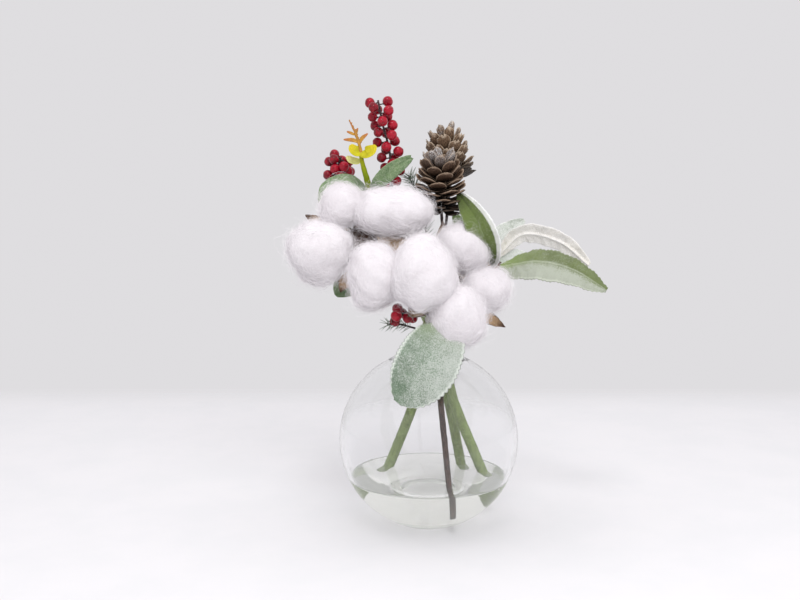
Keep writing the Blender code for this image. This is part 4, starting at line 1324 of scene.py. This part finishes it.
def make_frosted_leaves():
    rows = {
        "left": (0.975, [(-42, 15, 205.5), (-51, 15, 207.6), (-60.5, 14, 204), (-67, 13, 195.5)],
                 8.2, (0.1, -0.8, 0.55), 0.16, 0.5, -0.15, 0.0),
        "right": (0.975, [(-32, 9, 207), (-22.5, 7, 215.6), (-9.6, 6, 224.2)], 5.0, (0.3, -0.95, 0.1), 0.12,
                  0.55, 0.12, 1.6),
        "low": (0.685, [(-30, 23, 157), (-42, 17, 151), (-51, 11.5, 145), (-57, 8, 139)],
                7.6, (0, -0.9, 0.3), 0.4, 0.55, -0.1, 0.0),
    }
    for n, (name, (share, route, half_width, facing, petiole, widest, fold, notch)) in enumerate(
        rows.items()
    ):
        foot = tuple(curve(SPRIG_STEM, 2, share, 1.0)[0])
        gather = Gather()
        blade(gather, [foot] + route, half_width, facing, petiole, widest, fold, 0.8, 0.9, 80, 25,
              scallop=(0.12, 3.0), rib=0.3, veins=(0.1, 3.6), wave=0.25, rough=0.03, seed=50 + n, notch=notch)
        gather.make(f"frosted_sprig_leaf_{name}", [frosted_finish()], f"frosted_leaf_{name}")


def make_shoot():
    yellow = shoot_finish("yellow_young_leaf", (0.5, 0.46, 0.015), (0.6, 0.5, 0.02))
    pale = shoot_finish("pale_young_leaf", (0.62, 0.62, 0.2), (0.7, 0.68, 0.3))
    stalk_green = shoot_finish("yellow_green_stalk", (0.21, 0.28, 0.003), (0.38, 0.4, 0.006))
    orange = shoot_finish("orange_shoot_tip", (0.5, 0.27, 0.05), (0.42, 0.15, 0.05))

    stalk = Gather()
    tube(stalk, SHOOT_STALK, (2.0, 1.8, 1.45, 1.2), 40, 16, rough=0.04, seed=4)
    stalk.make("young_shoot_stalk", [stalk_green], "shoot_stalk")

    cups = {
        "right": ([(-41.8, 6.8, 226.2), (-38.8, 5.4, 225.4), (-35.2, 4.4, 227.2), (-32, 4.2, 230.4)], 4.2,
                  yellow),
        "left": ([(-40.6, 6.8, 226.2), (-43, 5.8, 226.2), (-45.6, 5.4, 228), (-47.4, 5.6, 231)], 3.7, yellow),
        "pale": ([(-40.6, 8, 221.4), (-43.6, 9, 220.8), (-47, 10.5, 221.6), (-50.2, 12, 224)], 2.7, pale),
    }
    for n, (name, (route, half_width, finish)) in enumerate(cups.items()):
        gather = Gather()
        blade(gather, route, half_width, (0, -0.82, 0.57), 0.02, 0.5, 0.3, 0.7, 0.7, 40, 17,
              rib=0.12, veins=(0.05, 1.8), wave=0.12, rough=0.03, seed=70 + n)
        gather.make(f"young_leaf_{name}", [finish], f"shoot_leaf_{name}")

    spear = [(-41.3, 7.2, 224.8), (-42.2, 7, 231), (-45, 6.4, 239), (-48.2, 6.2, 245.6)]
    gather = Gather()
    tube(gather, spear, (1.2, 0.95, 0.75, 0.3), 30, 10, rough=0.12, seed=6)
    leaflets = [
        ([(-42.4, 6.9, 232), (-45.6, 6, 233.6), (-51.6, 5.4, 234)], 1.25),
        ([(-42.2, 6.9, 231.4), (-40.6, 6, 234.6), (-37, 5.4, 237.6)], 1.25),
        ([(-44.2, 6.5, 236.6), (-47, 5.6, 237.8), (-49.6, 5.2, 238.8)], 0.9),
        ([(-44.2, 6.5, 236.4), (-43.8, 6, 238.6), (-43, 5.6, 240.8)], 0.8),
    ]
    for n, (route, half_width) in enumerate(leaflets):
        blade(gather, route, half_width, (0, -1, 0.3), 0.05, 0.5, 0.15, 0.5, 0.3, 24, 9,
              rib=0.08, veins=(0.0, 2.0), wave=0.1, rough=0.02, seed=80 + n)
    for k in range(16):
        t = 0.34 + 0.042 * k
        here = curve(spear, 2, t, min(t + 0.03, 1.0))
        turn = k * GOLDEN_TURN
        out = np.array([math.cos(turn), 0.6 * math.sin(turn), 0.9])
        far = here[0] + unit(out) * (2.0 - 0.07 * k)
        tube(gather, [here[0], (here[0] + far) / 2 + (0, 0, 0.15), far], (0.34, 0.42, 0.12), 6, 6)
    gather.make("feathery_shoot_tip", [orange], "shoot_tip")


# --- Stage ----------------------------------------------------------------------------------------


def floor_finish():
    """Pale floor with a faint tooth. It fades into the room some way behind the vase."""
    material, wires, shader = new_material("pale_studio_floor")
    split = wires.add("ShaderNodeSeparateXYZ")
    wires.put(split.inputs[0], wires.add("ShaderNodeTexCoord").outputs["Object"])
    wide = wires.calc(
        "POWER", wires.calc("ABSOLUTE", wires.calc("DIVIDE", split.outputs[0], FLOOR_FADE[0])), 4.0
    )
    deep = wires.calc(
        "POWER", wires.calc("ABSOLUTE", wires.calc("DIVIDE", split.outputs[1], FLOOR_FADE[1])), 4.0
    )
    solid = wires.between(wires.calc("ADD", wide, deep), 0.35, 1.7, 1.0, 0.0)
    tooth = wires.group(
        shared("Mottle"), Where=wires.where(), Patch=60.0, First=(0.755, 0.745, 0.76),
        Second=(0.735, 0.73, 0.745)
    )
    wires.put(shader.inputs["Base Color"], tooth["Color"])
    wires.put(shader.inputs["Alpha"], solid)
    shader.inputs["Roughness"].default_value = 0.95
    shader.inputs["Specular IOR Level"].default_value = 0.0
    return material


def add_lamp(name, place, size, power, in_gloss):
    """A soft lamp aimed at the bunch. Only those in_gloss show as highlights."""
    lamp = bpy.data.lights.new(name, "AREA")
    lamp.shape = "RECTANGLE"
    lamp.size, lamp.size_y = size
    lamp.energy = power
    holder = bpy.data.objects.new(name, lamp)
    holder.location = place
    aim = Vector(LAMP_AIM) - Vector(place)
    holder.rotation_euler = aim.to_track_quat("-Z", "Y").to_euler()
    holder.visible_glossy = in_gloss
    holder.visible_transmission = False
    bpy.context.scene.collection.objects.link(holder)


def make_stage():
    settings = bpy.context.scene.cotton_bunch.stage
    scene = bpy.context.scene
    scene.view_settings.view_transform = "Standard"

    world = bpy.data.worlds.new("soft_room")
    scene.world = world
    world.use_nodes = True
    world.node_tree.nodes["Background"].inputs[0].default_value = (*settings.backdrop, 1.0)
    world.node_tree.nodes["Background"].inputs[1].default_value = 1.0

    mesh = bpy.data.meshes.new("studio_floor")
    corner = [(x * FLOOR_HALF, y * FLOOR_HALF, 0) for x, y in ((-1, -1), (1, -1), (1, 1), (-1, 1))]
    mesh.from_pydata(corner, [], [(0, 1, 2, 3)])
    mesh.materials.append(floor_finish())
    floor = bpy.data.objects.new("studio_floor", mesh)
    scene.collection.objects.link(floor)

    add_lamp("key", (0.3, -0.95, 0.75), (0.8, 0.8), settings.key_power, False)
    add_lamp("overhead", (-0.1, 0.1, 1.2), (1.0, 1.0), settings.key_power * 0.55, False)
    add_lamp("highlight", (-0.06, -0.5, 0.95), (0.2, 0.2), settings.key_power * 0.3, True)

    camera = bpy.data.cameras.new("camera")
    camera.lens = settings.lens
    camera.sensor_width = SENSOR
    camera.clip_start, camera.clip_end = 0.01, 50.0
    holder = bpy.data.objects.new("camera", camera)
    holder.location = CAMERA_PLACE
    holder.rotation_euler = (math.radians(90 - CAMERA_DIP), 0.0, 0.0)
    scene.collection.objects.link(holder)
    scene.camera = holder


# --- Operators and panel --------------------------------------------------------------------------


class BunchSettings(bpy.types.PropertyGroup):
    """All the settings of the bunch."""

    vase: PointerProperty(name="Vase", description="Glass bowl and water", type=VaseSettings)
    cotton: PointerProperty(name="Cotton", description="Loose lint", type=CottonSettings)
    plants: PointerProperty(name="Plants", description="Stems, berries, cones and leaves", type=PlantSettings)
    stage: PointerProperty(name="Stage", description="Room, lights and camera", type=StageSettings)


class BUNCH_OT_vase(bpy.types.Operator):
    """Turn the round glass bowl"""

    bl_idname = "cotton_bunch.vase"
    bl_label = "Glass Vase"

    def execute(self, context):
        make_vase()
        return {"FINISHED"}


class BUNCH_OT_water(bpy.types.Operator):
    """Fill the bowl with still water"""

    bl_idname = "cotton_bunch.water"
    bl_label = "Water"

    def execute(self, context):
        make_water()
        return {"FINISHED"}


class BUNCH_OT_stems(bpy.types.Operator):
    """Lay the cotton trunk, its branches and the green stems"""

    bl_idname = "cotton_bunch.stems"
    bl_label = "Stems"

    def execute(self, context):
        make_stems()
        return {"FINISHED"}


class BUNCH_OT_burs(bpy.types.Operator):
    """Shape the two dry burs and their pointed valves"""

    bl_idname = "cotton_bunch.burs"
    bl_label = "Burs"

    def execute(self, context):
        make_bur("left", LEFT_HEAD, LEFT_VALVES)
        make_bur("right", RIGHT_HEAD, RIGHT_VALVES)
        return {"FINISHED"}


class BUNCH_OT_cotton(bpy.types.Operator):
    """Fluff out the eight locks of cotton"""

    bl_idname = "cotton_bunch.cotton"
    bl_label = "Cotton"

    def execute(self, context):
        make_cotton()
        return {"FINISHED"}


class BUNCH_OT_berries(bpy.types.Operator):
    """Grow the three sprays of red berries"""

    bl_idname = "cotton_bunch.berries"
    bl_label = "Berries"

    def execute(self, context):
        make_berries()
        return {"FINISHED"}


class BUNCH_OT_needles(bpy.types.Operator):
    """Grow the two frosted needle sprigs"""

    bl_idname = "cotton_bunch.needles"
    bl_label = "Needles"

    def execute(self, context):
        make_needles()
        return {"FINISHED"}


class BUNCH_OT_cones(bpy.types.Operator):
    """Build both pine cones, scale by scale, with their wires"""

    bl_idname = "cotton_bunch.cones"
    bl_label = "Pine Cones"

    def execute(self, context):
        make_cones()
        return {"FINISHED"}


class BUNCH_OT_woolly_leaves(bpy.types.Operator):
    """Shape the seven felted leaves"""

    bl_idname = "cotton_bunch.woolly_leaves"
    bl_label = "Woolly Leaves"

    def execute(self, context):
        make_woolly_leaves()
        return {"FINISHED"}


class BUNCH_OT_frosted_leaves(bpy.types.Operator):
    """Shape the three frosted leaves"""

    bl_idname = "cotton_bunch.frosted_leaves"
    bl_label = "Frosted Leaves"

    def execute(self, context):
        make_frosted_leaves()
        return {"FINISHED"}


class BUNCH_OT_shoot(bpy.types.Operator):
    """Grow the yellow and orange young shoot"""

    bl_idname = "cotton_bunch.shoot"
    bl_label = "Young Shoot"

    def execute(self, context):
        make_shoot()
        return {"FINISHED"}


class BUNCH_OT_stage(bpy.types.Operator):
    """Set the floor, room light, lamps and camera"""

    bl_idname = "cotton_bunch.stage"
    bl_label = "Stage"

    def execute(self, context):
        make_stage()
        return {"FINISHED"}


OPERATORS = (
    BUNCH_OT_stage, BUNCH_OT_vase, BUNCH_OT_water, BUNCH_OT_stems, BUNCH_OT_burs, BUNCH_OT_cotton,
    BUNCH_OT_berries, BUNCH_OT_needles, BUNCH_OT_cones, BUNCH_OT_woolly_leaves, BUNCH_OT_frosted_leaves,
    BUNCH_OT_shoot,
)


class BUNCH_PT_panel(bpy.types.Panel):
    """Lists every piece of the bunch"""

    bl_idname = "BUNCH_PT_panel"
    bl_label = "Cotton Bunch"
    bl_space_type = "VIEW_3D"
    bl_region_type = "UI"
    bl_category = "Cotton Bunch"

    def draw(self, context):
        settings = context.scene.cotton_bunch
        for group in (settings.vase, settings.cotton, settings.plants, settings.stage):
            box = self.layout.box()
            for name in group.__annotations__:
                box.prop(group, name)
        for operator in OPERATORS:
            self.layout.operator(operator.bl_idname)


CLASSES = (
    VaseSettings, CottonSettings, PlantSettings, StageSettings, BunchSettings, *OPERATORS, BUNCH_PT_panel
)


def register():
    for made in CLASSES:
        bpy.utils.register_class(made)
    bpy.types.Scene.cotton_bunch = PointerProperty(
        name="Cotton bunch", description="Settings of the cotton bunch", type=BunchSettings
    )


def unregister():
    del bpy.types.Scene.cotton_bunch
    for made in reversed(CLASSES):
        bpy.utils.unregister_class(made)


def main():
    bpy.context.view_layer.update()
    register()
    calls = bpy.ops.cotton_bunch
    calls.stage()
    calls.vase()
    calls.water()
    calls.stems()
    calls.burs()
    calls.cotton()
    calls.berries()
    calls.needles()
    calls.cones()
    calls.woolly_leaves()
    calls.frosted_leaves()
    calls.shoot()


if __name__ == "__main__":
    main()
